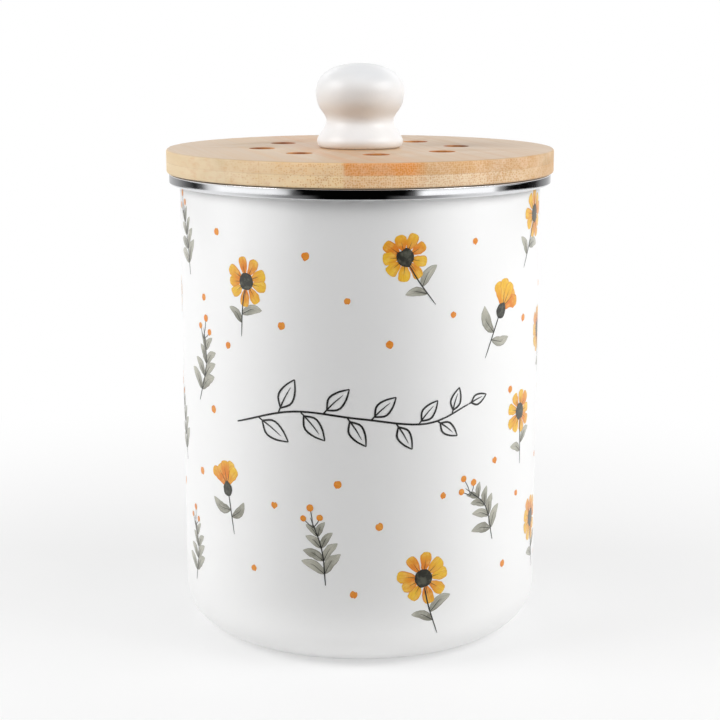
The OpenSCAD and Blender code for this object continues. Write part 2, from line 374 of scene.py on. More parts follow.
def dress_node(name: str, finish: "Finish") -> None:
    """Gives one of the frame's own nodes a finish and reports it."""
    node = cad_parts[name]
    node.data.materials.clear()
    node.data.materials.append(finish.material())
    LOG.info("%s: keeps its own mesh, dressed as %s", name, finish.name)


# Finishes: short calls for nodes, shared groups, then one class for each finish.


def linear(colour: Colour) -> tuple[float, float, float, float]:
    """Turns a screen colour of 0 to 255 into the linear one that a shader takes."""
    shares = [value / 255 for value in colour]
    low = [s / 12.92 if s <= 0.04045 else ((s + 0.055) / 1.055) ** 2.4 for s in shares]
    return (low[0], low[1], low[2], 1.0)


class Graph:
    """A node tree under construction."""

    def __init__(self, tree: bpy.types.NodeTree) -> None:
        """Takes the tree that the nodes go into."""
        self.tree = tree

    def node(self, kind: str, feeds: dict[int | str, Feed] | None = None,
             **settings: object) -> bpy.types.Node:
        """Adds a node.

        Args:
            kind: The node's type, without the word ShaderNode.
            feeds: What goes into each input: a socket or a plain value.
            **settings: The node's own properties.

        Returns:
            The new node.
        """
        made = self.tree.nodes.new("ShaderNode" + kind)
        for name, value in settings.items():
            setattr(made, name, value)
        for key, value in (feeds or {}).items():
            self.feed(made.inputs[key], value)
        return made

    def feed(self, socket: Socket, value: Feed) -> None:
        """Links a socket into an input, or sets the input to a plain value."""
        if isinstance(value, bpy.types.NodeSocket):
            self.tree.links.new(value, socket)
        else:
            socket.default_value = value

    def math(self, operation: str, *values: Feed) -> Socket:
        """Adds one step of arithmetic and returns its result."""
        return self.node("Math", dict(enumerate(values)), operation=operation).outputs[0]

    def vector(self, operation: str, *values: Feed) -> Socket:
        """Adds one step of vector arithmetic and returns its result."""
        return self.node("VectorMath", dict(enumerate(values)), operation=operation).outputs[0]

    def scaled(self, vector: Socket, scale: Sequence[float]) -> Socket:
        """Returns a vector with each axis multiplied by its own number."""
        return self.vector("MULTIPLY", vector, tuple(scale))

    def parts(self, vector: Socket) -> Sequence[Socket]:
        """Splits a vector into its three numbers."""
        return self.node("SeparateXYZ", {0: vector}).outputs

    def length(self, vector: Socket) -> Socket:
        """Returns a vector's length."""
        return self.node("VectorMath", {0: vector}, operation="LENGTH").outputs[1]

    def round_axis(self, place: Socket) -> tuple[Socket, Socket, Socket]:
        """Returns a place's distance from the Z axis, its angle round that axis and its height."""
        x, y, z = self.parts(place)
        flat = self.node("CombineXYZ", {0: x, 1: y}).outputs[0]
        return self.length(flat), self.math("ARCTAN2", y, x), z

    def remap(self, value: Socket, low: float, high: float, to_low: Feed = 0.0, to_high: Feed = 1.0,
              soft: bool = True) -> Socket:
        """Maps a stretch of values onto another one, held at both ends.

        Args:
            value: The value to map.
            low: Where the stretch starts.
            high: Where the stretch ends.
            to_low: The result at the start.
            to_high: The result at the end.
            soft: Whether the result eases in and out.

        Returns:
            The mapped value.
        """
        kind = "SMOOTHSTEP" if soft else "LINEAR"
        feeds = {0: value, 1: low, 2: high, 3: to_low, 4: to_high}
        return self.node("MapRange", feeds, interpolation_type=kind, clamp=True).outputs[0]

    def mix(self, factor: Feed, first: Feed, second: Feed) -> Socket:
        """Mixes two colours and returns the mixture."""
        return self.node("Mix", {0: factor, 6: first, 7: second}, data_type="RGBA").outputs[2]

    def tones(self, factor: Feed, first: Colour, second: Colour) -> Socket:
        """Mixes two screen colours and returns the mixture."""
        return self.mix(factor, linear(first), linear(second))

    def ramp(self, factor: Socket, stops: Sequence[tuple[float, Colour]]) -> Socket:
        """Turns a value into a colour by stops of position and screen colour."""
        made = self.node("ValToRGB", {0: factor})
        elements = made.color_ramp.elements
        elements.remove(elements[1])
        elements[0].position, elements[0].color = stops[0][0], linear(stops[0][1])
        for position, colour in stops[1:]:
            elements.new(position).color = linear(colour)
        return made.outputs[0]

    def noise(self, vector: Socket, scale: float, detail: float = 3.0, roughness: float = 0.5) -> Socket:
        """Adds a noise texture and returns its value."""
        feeds = {"Vector": vector, "Scale": scale, "Detail": detail, "Roughness": roughness}
        return self.node("TexNoise", feeds).outputs[0]

    def bump(self, height: Socket, depth: float) -> Socket:
        """Turns a height of 0 to 1 into a normal."""
        return self.node("Bump", {"Height": height, "Distance": depth, "Strength": 1.0}).outputs[0]

    def group(self, tree: bpy.types.NodeTree, feeds: dict[int | str, Feed]) -> bpy.types.Node:
        """Places a shared group and feeds it."""
        made = self.tree.nodes.new("ShaderNodeGroup")
        made.node_tree = tree
        for key, value in feeds.items():
            self.feed(made.inputs[key], value)
        return made


def shared_group(name: str, inputs: dict[str, str], outputs: Sequence[str],
                 wire: Callable[[Graph, dict[str, Socket]], dict[str, Socket]]) -> bpy.types.NodeTree:
    """Builds a shader group once and hands out the same one after that.

    Args:
        name: The group's name.
        inputs: Each input's name and whether it is a Float or a Vector.
        outputs: The names of its values that come out.
        wire: Takes the group's graph and its input sockets, and returns a socket for each output.

    Returns:
        The group's node tree.
    """
    if name in bpy.data.node_groups:
        return bpy.data.node_groups[name]
    tree = bpy.data.node_groups.new(name, "ShaderNodeTree")
    for label, kind in inputs.items():
        tree.interface.new_socket(name=label, in_out="INPUT", socket_type="NodeSocket" + kind)
    for label in outputs:
        tree.interface.new_socket(name=label, in_out="OUTPUT", socket_type="NodeSocketFloat")
    graph = Graph(tree)
    start = tree.nodes.new("NodeGroupInput")
    end = tree.nodes.new("NodeGroupOutput")
    made = wire(graph, {label: start.outputs[label] for label in inputs})
    for label in outputs:
        graph.feed(end.inputs[label], made[label])
    return tree


def mottle_group() -> bpy.types.NodeTree:
    """Soft clouds and fine grain of a given size, the small unevenness of every real surface."""

    def wire(graph: Graph, given: dict[str, Socket]) -> dict[str, Socket]:
        """Wires a slow noise and a fine one."""
        place = graph.vector("DIVIDE", given["Place"], given["Size"])
        clouds = graph.noise(place, 1.0, detail=3.0)
        grain = graph.noise(place, 9.0, detail=4.0, roughness=0.6)
        return {"Clouds": graph.remap(clouds, 0.2, 0.8), "Grain": graph.remap(grain, 0.2, 0.8)}

    return shared_group("mottle", {"Place": "Vector", "Size": "Vector"}, ("Clouds", "Grain"), wire)


def hairline_group() -> bpy.types.NodeTree:
    """Fine lines that run round the Z axis, as polishing and turning leave them."""

    def wire(graph: Graph, given: dict[str, Socket]) -> dict[str, Socket]:
        """Wires a noise that hardly changes on the way round."""
        radius, angle, height = graph.round_axis(given["Place"])
        drift = graph.math("MULTIPLY", angle, 0.0004)
        lines = graph.node("CombineXYZ", {0: radius, 1: height, 2: drift}).outputs[0]
        lines = graph.vector("DIVIDE", lines, given["Size"])
        fine = graph.noise(lines, 1.0, detail=4.0, roughness=0.7)
        return {"Lines": graph.remap(fine, 0.25, 0.75)}

    return shared_group("hairlines", {"Place": "Vector", "Size": "Vector"}, ("Lines",), wire)


class Finish:
    """What every finish shares: one Principled shader and the piece's own object coordinates."""

    name: str

    def material(self) -> bpy.types.Material:
        """Builds the material once and hands out the same one after that."""
        if self.name in bpy.data.materials:
            return bpy.data.materials[self.name]
        made = bpy.data.materials.new(self.name)
        made.use_nodes = True
        graph = Graph(made.node_tree)
        place = graph.node("TexCoord").outputs["Object"]
        self.wire(graph, made.node_tree.nodes["Principled BSDF"], place)
        return made

    def wire(self, graph: Graph, shader: bpy.types.Node, place: Socket) -> None:
        """Wires the nodes of the finish into the shader."""
        raise NotImplementedError

    @staticmethod
    def mottle(graph: Graph, place: Socket, size: float) -> tuple[Socket, Socket]:
        """Places the mottle group at a size and returns its clouds and its grain."""
        made = graph.group(mottle_group(), {"Place": place, "Size": (size,) * 3})
        return made.outputs["Clouds"], made.outputs["Grain"]

    @staticmethod
    def dress(graph: Graph, shader: bpy.types.Node, feeds: dict[str, Socket],
              plain: dict[str, float]) -> None:
        """Feeds what changes over the surface into the shader, and sets its plain values.

        Args:
            graph: The material's graph.
            shader: The Principled shader.
            feeds: A socket for each of the shader's inputs that changes over the surface.
            plain: A number for each input that is the same all over.
        """
        for name, socket in feeds.items():
            graph.feed(shader.inputs[name], socket)
        for name, value in plain.items():
            shader.inputs[name].default_value = value


@dataclass(frozen=True)
class EnamelFinish(Finish):
    """Fired white enamel: a smooth glassy skin with a faint orange peel."""

    name: str = "white_enamel"
    white: Colour = (247, 247, 247)
    warm_white: Colour = (247, 247, 246)
    drift_scale: float = 6.0
    rough_low: float = 0.32
    rough_high: float = 0.36
    peel: float = 0.000004
    peel_size: float = 0.005
    coat_rough: float = 0.28
    coat_ior: float = 2.1

    def wire(self, graph: Graph, shader: bpy.types.Node, place: Socket) -> None:
        """Wires white that drifts very slowly, and a peel that only the gloss shows."""
        drift = graph.noise(place, self.drift_scale, detail=0.0)
        peel = graph.noise(place, 1 / self.peel_size, detail=1.0)
        self.dress(graph, shader, {
            "Base Color": graph.tones(drift, self.white, self.warm_white),
            "Roughness": graph.remap(drift, 0.2, 0.8, self.rough_low, self.rough_high),
            "Normal": graph.bump(peel, self.peel),
        }, {"Coat Weight": 1.0, "Coat Roughness": self.coat_rough, "Coat IOR": self.coat_ior})


@dataclass(frozen=True)
class MetalFinish(Finish):
    """A metal with fine lines round its axis."""

    name: str
    tone: Colour
    dull_tone: Colour
    rough_low: float
    rough_high: float
    line_size: float = 0.0003
    groove: float = 0.000002
    cloud_size: float = 0.02
    grain_rough: float = 0.02

    def wire(self, graph: Graph, shader: bpy.types.Node, place: Socket) -> None:
        """Wires the lines into roughness and normal, and clouds into the colour."""
        hairlines = graph.group(hairline_group(), {"Place": place, "Size": (self.line_size,) * 3})
        lines = hairlines.outputs["Lines"]
        clouds, grain = self.mottle(graph, place, self.cloud_size)
        rough = graph.remap(lines, 0.0, 1.0, self.rough_low, self.rough_high)
        self.dress(graph, shader, {
            "Base Color": graph.tones(clouds, self.tone, self.dull_tone),
            "Roughness": graph.math("ADD", rough, graph.remap(grain, 0.5, 1.0, 0.0, self.grain_rough)),
            "Normal": graph.bump(lines, self.groove),
        }, {"Metallic": 1.0})


@dataclass(frozen=True)
class VentRing:
    """The ring of vent holes through the board."""

    count: int = 8
    turned: float = math.radians(9)
    ring_r: float = 0.042
    hole_r: float = 0.0054


@dataclass(frozen=True)
class BambooFinish(Finish):
    """Laminated bamboo as a solid: fibres along the grain, end-grain dots, glued strips with painted light in
    their soft blends, painted sheen and shade on the flat faces, and painted shade in the holes.
    """

    name: str
    # Each strip's own tone, with painted light across the board worked into the tones and their wide blends.
    strip_tones_and_light: tuple[tuple[float, float, Colour], ...]
    dot_share: float = 0.8
    pith_share: float = 0.6
    grain_turn: float = math.radians(15.5)
    fibre_gap: float = 0.00108
    fibre_run: float = 0.05
    fibre_wobble: float = 0.0006
    wobble_scale: tuple[float, float, float] = (300.0, 8.0, 300.0)
    streak_scale: tuple[float, float, float] = (420.0, 5.0, 420.0)
    band_scale: tuple[float, float, float] = (150.0, 3.0, 150.0)
    strip_span: float = 0.165
    first_joint: float = -0.0279
    strip_width: float = 0.0292
    fibre_tone: Colour = (204, 138, 78)
    pith_tone: Colour = (250, 232, 204)
    # Flat faces: the sanded face's own tone, greyed as a painted sheen and darkened as painted shade on the
    # top.
    face_tone_sheen_and_shade: Colour = (198, 168, 134)
    face_sheen_and_shade_share: float = 0.92
    face_rough: float = 0.36
    edge_rough: float = 0.6
    joint_share: float = 0.16
    mark_depth: float = 0.3
    relief: float = 0.00008
    # Painted shade in the vent holes: the walls and a thin ring round each are painted orange-brown, darker
    # in patches. The first tone also darkens the glue lines.
    hole_shade_and_joint_tone: Colour = (206, 138, 66)
    hole_deep_shade_tone: Colour = (160, 86, 34)
    hole_shade_share: float = 0.95
    halo_low: float = 0.0001
    halo_high: float = 0.0005
    vents: VentRing = VentRing()

    def wire(self, graph: Graph, shader: bpy.types.Node, place: Socket) -> None:
        """Wires strips, fibres, the sanded top face with its painted sheen and shade, and the painted shade
        of the hole walls.
        """
        grain = graph.node("Mapping", {0: place, 2: (0.0, 0.0, -self.grain_turn)}).outputs[0]
        across = graph.parts(grain)[0]
        normal = graph.node("NewGeometry").outputs["Normal"]
        streaks = graph.noise(graph.scaled(grain, self.streak_scale), 1.0, detail=4.0, roughness=0.6)
        bands = graph.noise(graph.scaled(grain, self.band_scale), 1.0, detail=2.0)
        ends = self.cut_across(graph, normal)
        dots, pith = (graph.math("MULTIPLY", mask, ends) for mask in self.fibres(graph, grain))
        spots = graph.math("MULTIPLY", dots, self.dot_share)
        joint = self.joints(graph, across)
        flat = graph.remap(graph.math("ABSOLUTE", graph.parts(normal)[2]), 0.55, 0.95)
        colour = graph.ramp(graph.math("MULTIPLY_ADD", across, 1 / self.strip_span, 0.5), self.strip_and_light_stops())
        for amount, tone in ((graph.remap(bands, 0.3, 0.7, 0.0, 0.24), self.pith_tone),
                             (graph.remap(streaks, 0.45, 0.75, 0.0, 0.28), self.fibre_tone),
                             (graph.math("MULTIPLY", pith, self.pith_share * self.dot_share), self.pith_tone),
                             (spots, self.fibre_tone)):
            colour = graph.mix(amount, colour, linear(tone))
        # Painted sheen and shade: flat faces are mixed towards a greyer, darker tone than the sanded wood
        # alone.
        sanded_sheen_and_shade = graph.mix(graph.remap(streaks, 0.35, 0.75, 0.02, 0.26), linear(self.face_tone_sheen_and_shade), colour)
        colour = graph.mix(graph.math("MULTIPLY", flat, self.face_sheen_and_shade_share), colour, sanded_sheen_and_shade)
        colour = graph.mix(graph.math("MULTIPLY", joint, self.joint_share), colour, linear(self.hole_shade_and_joint_tone))
        # Painted shade for the vent holes, darker in patches.
        hole_shade_colour = graph.tones(graph.remap(bands, 0.35, 0.6), self.hole_shade_and_joint_tone, self.hole_deep_shade_tone)
        rough = graph.remap(flat, 0.0, 1.0, self.edge_rough, self.face_rough, soft=False)
        marks = graph.math("MULTIPLY", graph.math("ADD", spots, joint), self.mark_depth)
        self.dress(graph, shader, {
            "Base Color": graph.mix(self.paint_hole_shade(graph, place), colour, hole_shade_colour),
            "Roughness": graph.math("ADD", rough, graph.remap(streaks, 0.3, 0.7, -0.04, 0.06)),
            "Normal": graph.bump(graph.math("SUBTRACT", streaks, marks), self.relief),
        }, {})

    def strip_and_light_stops(self) -> list[tuple[float, Colour]]:
        """Lists the ramp's stops: each strip starts at a share of the width and blends in over another. The
        tones also carry painted light across the board, which the wide blends spread out.
        """
        stops = [(0.0, self.strip_tones_and_light[0][2])]
        for (_, _, before), (start, blend, tone) in zip(self.strip_tones_and_light, self.strip_tones_and_light[1:]):
            stops += [(start - blend / 2, before), (start + blend / 2, tone)]
        return stops

    def cut_across(self, graph: Graph, normal: Socket) -> Socket:
        """Wires how far a face cuts across the fibres: 1 on end grain, 0 where they run along it."""
        way = (-math.sin(self.grain_turn), math.cos(self.grain_turn), 0.0)
        turned = graph.node("VectorMath", {0: normal, 1: way}, operation="DOT_PRODUCT").outputs["Value"]
        return graph.remap(graph.math("ABSOLUTE", turned), 0.42, 0.9)

    def fibres(self, graph: Graph, grain: Socket) -> tuple[Socket, Socket]:
        """Wires the fibre bundles: dots where the grain ends, thin streaks where it runs along.

        Args:
            graph: The material's graph.
            grain: The place, turned so that Y runs along the grain.

        Returns:
            The bundles' mask and the pale pith between them.
        """
        waves = {"Vector": graph.scaled(grain, self.wobble_scale), "Scale": 1.0}
        wobble = graph.node("TexNoise", waves).outputs["Color"]
        push = graph.vector("MULTIPLY_ADD", wobble, (self.fibre_wobble, 0.0, self.fibre_wobble), grain)
        cells = graph.scaled(push, (1 / self.fibre_gap, 1 / self.fibre_run, 1 / self.fibre_gap))
        feeds = {"Vector": cells, "Scale": 1.0, "Randomness": 0.55}
        gap = graph.node("TexVoronoi", feeds).outputs["Distance"]
        return graph.remap(gap, 0.40, 0.22), graph.remap(gap, 0.40, 0.58)

    def joints(self, graph: Graph, across: Socket) -> Socket:
        """Wires the thin glue lines between the strips and returns their mask."""
        strip = graph.math("DIVIDE", graph.math("SUBTRACT", across, self.first_joint), self.strip_width)
        away = graph.math("PINGPONG", strip, 0.5)
        return graph.remap(away, 0.0025, 0.0065, 1.0, 0.0)

    def paint_hole_shade(self, graph: Graph, place: Socket) -> Socket:
        """Wires the painted shade of the vent holes: brown walls and a thin ring round each, and returns its
        mask.
        """
        radius, turned, _ = graph.round_axis(place)
        step = math.tau / self.vents.count
        angle = graph.math("SUBTRACT", turned, self.vents.turned - step / 2)
        folded = graph.math("SUBTRACT", graph.math("WRAP", angle, step, 0.0), step / 2)
        along = graph.math("MULTIPLY", radius, graph.math("COSINE", folded))
        beside = graph.math("MULTIPLY", radius, graph.math("SINE", folded))
        squares = [graph.math("POWER", gap, 2.0)
                   for gap in (graph.math("SUBTRACT", along, self.vents.ring_r), beside)]
        away = graph.math("SQRT", graph.math("ADD", *squares))
        near, far = self.vents.hole_r + self.halo_low, self.vents.hole_r + self.halo_high
        return graph.remap(away, near, far, self.hole_shade_share, 0.0)


@dataclass(frozen=True)
class GlazeFinish(Finish):
    """White glazed ceramic: a soft white body under a clear, slightly wavy glaze."""

    name: str = "white_glaze"
    white: Colour = (245, 245, 245)
    cool_white: Colour = (239, 240, 242)
    cloud_size: float = 0.02
    wave_size: float = 0.05
    wave: float = 0.00004
    rough_low: float = 0.44
    rough_high: float = 0.5
    coat: float = 0.35
    coat_rough: float = 0.24

    def wire(self, graph: Graph, shader: bpy.types.Node, place: Socket) -> None:
        """Wires the clouded white and the waves in the glaze."""
        clouds, _ = self.mottle(graph, place, self.cloud_size)
        _, grain = self.mottle(graph, place, self.wave_size)
        self.dress(graph, shader, {
            "Base Color": graph.tones(clouds, self.white, self.cool_white),
            "Roughness": graph.remap(clouds, 0.0, 1.0, self.rough_low, self.rough_high),
            "Normal": graph.bump(grain, self.wave),
        }, {"Coat Weight": self.coat, "Coat Roughness": self.coat_rough})


@dataclass(frozen=True)
class MouldedFinish(Finish):
    """Moulded plastic or rubber: an even tone with a fine matt skin."""

    name: str
    tone: Colour
    shade: Colour
    rough_low: float = 0.42
    rough_high: float = 0.52
    cloud_size: float = 0.03
    skin_size: float = 0.004
    skin: float = 0.00001

    def wire(self, graph: Graph, shader: bpy.types.Node, place: Socket) -> None:
        """Wires the tone's clouds and the skin's grain."""
        clouds, _ = self.mottle(graph, place, self.cloud_size)
        _, grain = self.mottle(graph, place, self.skin_size)
        self.dress(graph, shader, {
            "Base Color": graph.tones(clouds, self.tone, self.shade),
            "Roughness": graph.remap(grain, 0.0, 1.0, self.rough_low, self.rough_high),
            "Normal": graph.bump(grain, self.skin),
        }, {})


@dataclass(frozen=True)
class CharcoalFinish(Finish):
    """Charcoal-filled foam: a black open mesh of pores and struts, with painted shade in the sunken pores."""

    name: str = "charcoal_foam"
    strut: Colour = (62, 62, 64)
    # Pore colour is painted shade in the sunken cells.
    pore_shade: Colour = (16, 16, 17)
    pore_size: float = 0.0016
    pore_depth: float = 0.0005
    pore_rough: float = 0.95
    strut_rough: float = 0.8

    def wire(self, graph: Graph, shader: bpy.types.Node, place: Socket) -> None:
        """Wires the pores into depth, and into colour as painted shade."""
        cells = graph.scaled(place, (1 / self.pore_size,) * 3)
        gap = graph.node("TexVoronoi", {"Vector": cells, "Scale": 1.0}, feature="DISTANCE_TO_EDGE").outputs[0]
        strut = graph.remap(gap, 0.05, 0.25, 1.0, 0.0)
        self.dress(graph, shader, {
            "Base Color": graph.tones(strut, self.pore_shade, self.strut),
            "Roughness": graph.remap(strut, 0.0, 1.0, self.pore_rough, self.strut_rough),
            "Normal": graph.bump(strut, self.pore_depth),
        }, {})


def wash_group() -> bpy.types.NodeTree:
    """What a wet brush leaves: paint that pools at the edge, streaks along the stroke and thin spots."""

    def wire(graph: Graph, given: dict[str, Socket]) -> dict[str, Socket]:
        """Wires the pooled edge, the streaks and the thin spots."""
        along, across, _ = graph.parts(given["Stroke"])
        cells = graph.scaled(given["Place"], (420.0,) * 3)
        blotch = graph.noise(cells, 1.0, detail=3.0, roughness=0.55)
        away = graph.math("MULTIPLY", graph.math("ABSOLUTE", graph.math("SUBTRACT", across, 0.5)), 2.0)
        rim = graph.math("MAXIMUM", away, graph.remap(along, 0.55, 1.0, 0.0, 0.97, soft=False))
        rim = graph.math("ADD", rim, graph.remap(blotch, 0.3, 0.7, -0.12, 0.12))
        stretched = {0: graph.math("MULTIPLY", along, 1.6), 1: graph.math("MULTIPLY", across, 9.0),
                     2: graph.math("MULTIPLY", given["Tint"], 31.0)}
        lengthwise = graph.node("CombineXYZ", stretched).outputs[0]
        streaks = graph.noise(lengthwise, 1.0, detail=4.0, roughness=0.6)
        return {"Pool": graph.remap(rim, 0.78, 0.99), "Streaks": graph.remap(streaks, 0.42, 0.68),
                "Thin": graph.remap(blotch, 0.44, 0.66)}

    inputs = {"Place": "Vector", "Stroke": "Vector", "Tint": "Float"}
    return shared_group("watercolour", inputs, ("Pool", "Streaks", "Thin"), wire)


@dataclass(frozen=True)
class PaintFinish(Finish):
    """Watercolour under the enamel's gloss: from root to tip, with pooled edges, streaks and thin spots."""

    name: str
    root_tone: Colour
    tip_tone: Colour
    pool_tone: Colour
    thin_tone: Colour
    pooled: float = 0.5
    streaked: float = 0.4
    thinned: float = 0.35
    tint_shift: float = 0.3
    rough_low: float = 0.32
    rough_high: float = 0.38
    coat: float = 0.3
    coat_rough: float = 0.28

    def wire(self, graph: Graph, shader: bpy.types.Node, place: Socket) -> None:
        """Wires the stroke's own UV map and tint into the wash."""
        stroke = graph.node("UVMap", uv_map=STROKE_MAP).outputs[0]
        tint = graph.node("Attribute", attribute_name=TINT).outputs["Fac"]
        wash = graph.group(wash_group(), {"Place": place, "Stroke": stroke, "Tint": tint}).outputs
        shift = graph.remap(tint, 0.0, 1.0, -self.tint_shift, self.tint_shift, soft=False)
        share = graph.math("ADD", graph.parts(stroke)[0], shift)
        colour = graph.tones(graph.remap(share, 0.1, 0.9), self.root_tone, self.tip_tone)
        for label, amount, tone in (("Thin", self.thinned, self.thin_tone),
                                    ("Streaks", self.streaked, self.pool_tone),
                                    ("Pool", self.pooled, self.pool_tone)):
            colour = graph.mix(graph.math("MULTIPLY", wash[label], amount), colour, linear(tone))
        self.dress(graph, shader, {
            "Base Color": colour,
            "Roughness": graph.remap(wash["Thin"], 0.0, 1.0, self.rough_low, self.rough_high),
        }, {"Coat Weight": self.coat, "Coat Roughness": self.coat_rough})


class Finishes:
    """The object's own finishes, each made once."""

    ENAMEL = EnamelFinish()
    RIM = MetalFinish("polished_rim", (232, 233, 235), (226, 227, 229), 0.03, 0.07)
    ZINC = MetalFinish("zinc_plate", (196, 200, 206), (178, 182, 188), 0.22, 0.36)
    BRASS = MetalFinish("turned_brass", (212, 170, 92), (190, 146, 74), 0.2, 0.34)
    GLAZE = GlazeFinish()
    # Strip tones: the wood's own strips, with painted light across the board in the wide soft blends.
    BOARD = BambooFinish("bamboo_board", (
        (0.0, 0.0, (216, 191, 151)), (0.154, 0.16, (252, 207, 147)), (0.331, 0.008, (242, 152, 54)),
        (0.508, 0.04, (220, 168, 106)), (0.685, 0.05, (196, 148, 92)), (0.862, 0.05, (195, 161, 119)),
    ), dot_share=0.36, fibre_gap=0.00084)
    # Strip tones: the wood's own strips, with painted light across the board in the wide soft blends.
    UNDER_BOARD = BambooFinish("bamboo_under_board", (
        (0.0, 0.0, (219, 196, 158)), (0.154, 0.16, (254, 217, 160)), (0.331, 0.008, (246, 198, 142)),
        (0.508, 0.04, (234, 203, 163)), (0.685, 0.05, (198, 156, 104)), (0.862, 0.05, (197, 158, 112)),
    ), dot_share=0.5, fibre_gap=0.00088)
    PLUG = BambooFinish("bamboo_plug", ((0.0, 0.0, (226, 190, 140)), (0.5, 0.01, (222, 184, 132))))
    SEAL = MouldedFinish("clear_silicone", (232, 234, 230), (222, 225, 220), 0.3, 0.38)
    PLASTIC = MouldedFinish("white_plastic", (236, 237, 238), (230, 231, 233))
    CHARCOAL = CharcoalFinish()
    PETAL_PAINT = PaintFinish("petal_paint", (229, 128, 20), (243, 196, 48), (214, 112, 16), (250, 222, 120))
    LEAF_PAINT = PaintFinish("leaf_paint", (138, 137, 124), (190, 188, 174), (104, 104, 94), (214, 212, 200))
    CENTRE_PAINT = PaintFinish("centre_paint", (38, 38, 31), (52, 52, 42), (16, 16, 14), (112, 114, 98),
                               thinned=0.5)
    SPOT_PAINT = PaintFinish("spot_paint", (233, 138, 26), (236, 152, 38), (214, 108, 12), (244, 186, 92))
    INK = PaintFinish("fine_ink", (30, 30, 28), (34, 34, 32), (20, 20, 19), (66, 66, 62),
                      pooled=0.3, streaked=0.3, thinned=0.3)


# The object's sub-assemblies.


@dataclass
class EnamelShell:
    """The drawn steel vessel: wall, round bottom corner, pressed foot and the lip under the rim band."""

    wall_r: float = 0.077
    sheet: float = 0.001
    wall_top: float = 0.19545
    corner_r: float = 0.0185
    corner_steps: int = 16
    foot_w: float = 0.008
    recess: float = 0.0015
    lip_reach: float = 0.00235
    lip_drop: float = 0.0014
    sides: int = 192

    def build(self) -> Piece:
        """Models the shell, gives it its sheet and dresses it.

        Returns:
            The shell.
        """
        shell = add_cylinder("shell_enamelled", self.wall_r, 0.0, self.wall_top, self.sides)
        with editing(shell):
            pick(shell, Part.FACE, lambda middle, normal: normal.z > NEAR_ONE)
            bpy.ops.mesh.delete(type="ONLY_FACE")
            round_edges(shell, self.corner_r, self.corner_steps, lambda middle, way: middle.z < TINY)
            pick(shell, Part.FACE, lambda middle, normal: normal.z < -NEAR_ONE and middle.xy.length < TINY)
            bpy.ops.mesh.inset(thickness=self.foot_w)
            bpy.ops.mesh.inset(thickness=self.recess, depth=-self.recess)
            self.make_lip(shell)
        apply_modifier(shell, "SOLIDIFY", thickness=self.sheet, offset=-1.0, use_even_offset=True)
        return install(smooth(shell), "caddy", "enamel", Finishes.ENAMEL, "enamel_shell")

    def make_lip(self, shell: Piece) -> None:
        """Turns the rim outwards and down, where the band is rolled over it.

        Args:
            shell: The shell, open in edit mode.
        """
        share = (self.wall_r + self.lip_reach) / self.wall_r
        pick(shell, Part.EDGE, lambda middle, way: middle.z > self.wall_top - TINY)
        bpy.ops.mesh.extrude_region_move()
        bpy.ops.transform.resize(value=(share, share, 1.0), center_override=(0.0, 0.0, 0.0))
        bpy.ops.mesh.extrude_region_move(TRANSFORM_OT_translate={"value": (0.0, 0.0, -self.lip_drop)})


class Paint(Enum):
    """The paints of the print, each by the name of the piece that it becomes."""

    LEAF = "print_leaves"
    PETAL = "print_petals"
    SPOT = "print_spots"
    CENTRE = "print_centres"
    INK = "print_lines"


@dataclass(frozen=True)
class Stroke:
    """One brush stroke on the flat sheet, along a smooth line of points from its root to its tip.

    The sheet is the XZ plane, as the wall unrolled. An end of 0.5 is round, 1 runs to a point and 0.1
    is blunt.
    """

    paint: Paint
    path: tuple[Spot, ...]
    width: float
    root: float = 0.5
    tip: float = 0.5
    layer: int = 0
    columns: int = 10
    rows: int = 2
    ragged: float = 0.0

    def spot(self, share: float, side: float, seed: float) -> Vector:
        """Finds a place on the stroke.

        Args:
            share: How far along the stroke it is, from 0 to 1.
            side: How far to the side it is, from -0.5 to 0.5.
            seed: Picks the waves of a ragged edge.

        Returns:
            The place in the XZ plane.
        """
        middle, ahead = self.along(share)
        peak = self.root / (self.root + self.tip)
        swell = share**self.root * (1 - share) ** self.tip / (peak**self.root * (1 - peak) ** self.tip)
        wave = 1 + self.ragged * noise.noise(Vector((share * 5, side * 3, seed * 97)))
        return middle + Vector((-ahead.z, 0.0, ahead.x)) * side * self.width * swell * wave

    def along(self, share: float) -> tuple[Vector, Vector]:
        """Finds the place and the way of the stroke's middle line at a share of its length."""
        spots = [Vector((x, 0.0, z)) for x, z in self.path]
        place = share * (len(spots) - 1)
        i = min(int(place), len(spots) - 2)
        t = place - i
        a, b = spots[i], spots[i + 1]
        leaving = (b - spots[i - 1]) / 2 if i > 0 else b - a
        arriving = (spots[i + 2] - a) / 2 if i + 2 < len(spots) else b - a
        middle = (2 * t**3 - 3 * t**2 + 1) * a + (t**3 - 2 * t**2 + t) * leaving
        middle += (3 * t**2 - 2 * t**3) * b + (t**3 - t**2) * arriving
        ahead = (6 * t**2 - 6 * t) * (a - b) + (3 * t**2 - 4 * t + 1) * leaving
        ahead += (3 * t**2 - 2 * t) * arriving
        return middle, ahead.normalized()


def ink(path: tuple[Spot, ...], width: float, root: float, tip: float, layer: int = 4,
        columns: int = 14) -> Stroke:
    """Makes one thin ink line, above the other paints where nothing else is said."""
    return Stroke(Paint.INK, path, width, root, tip, layer=layer, columns=columns, rows=1)


def between(first: Spot, last: Spot, share: float) -> Spot:
    """Finds the place at a share of the way from one place to another."""
    return (first[0] + share * (last[0] - first[0]), first[1] + share * (last[1] - first[1]))


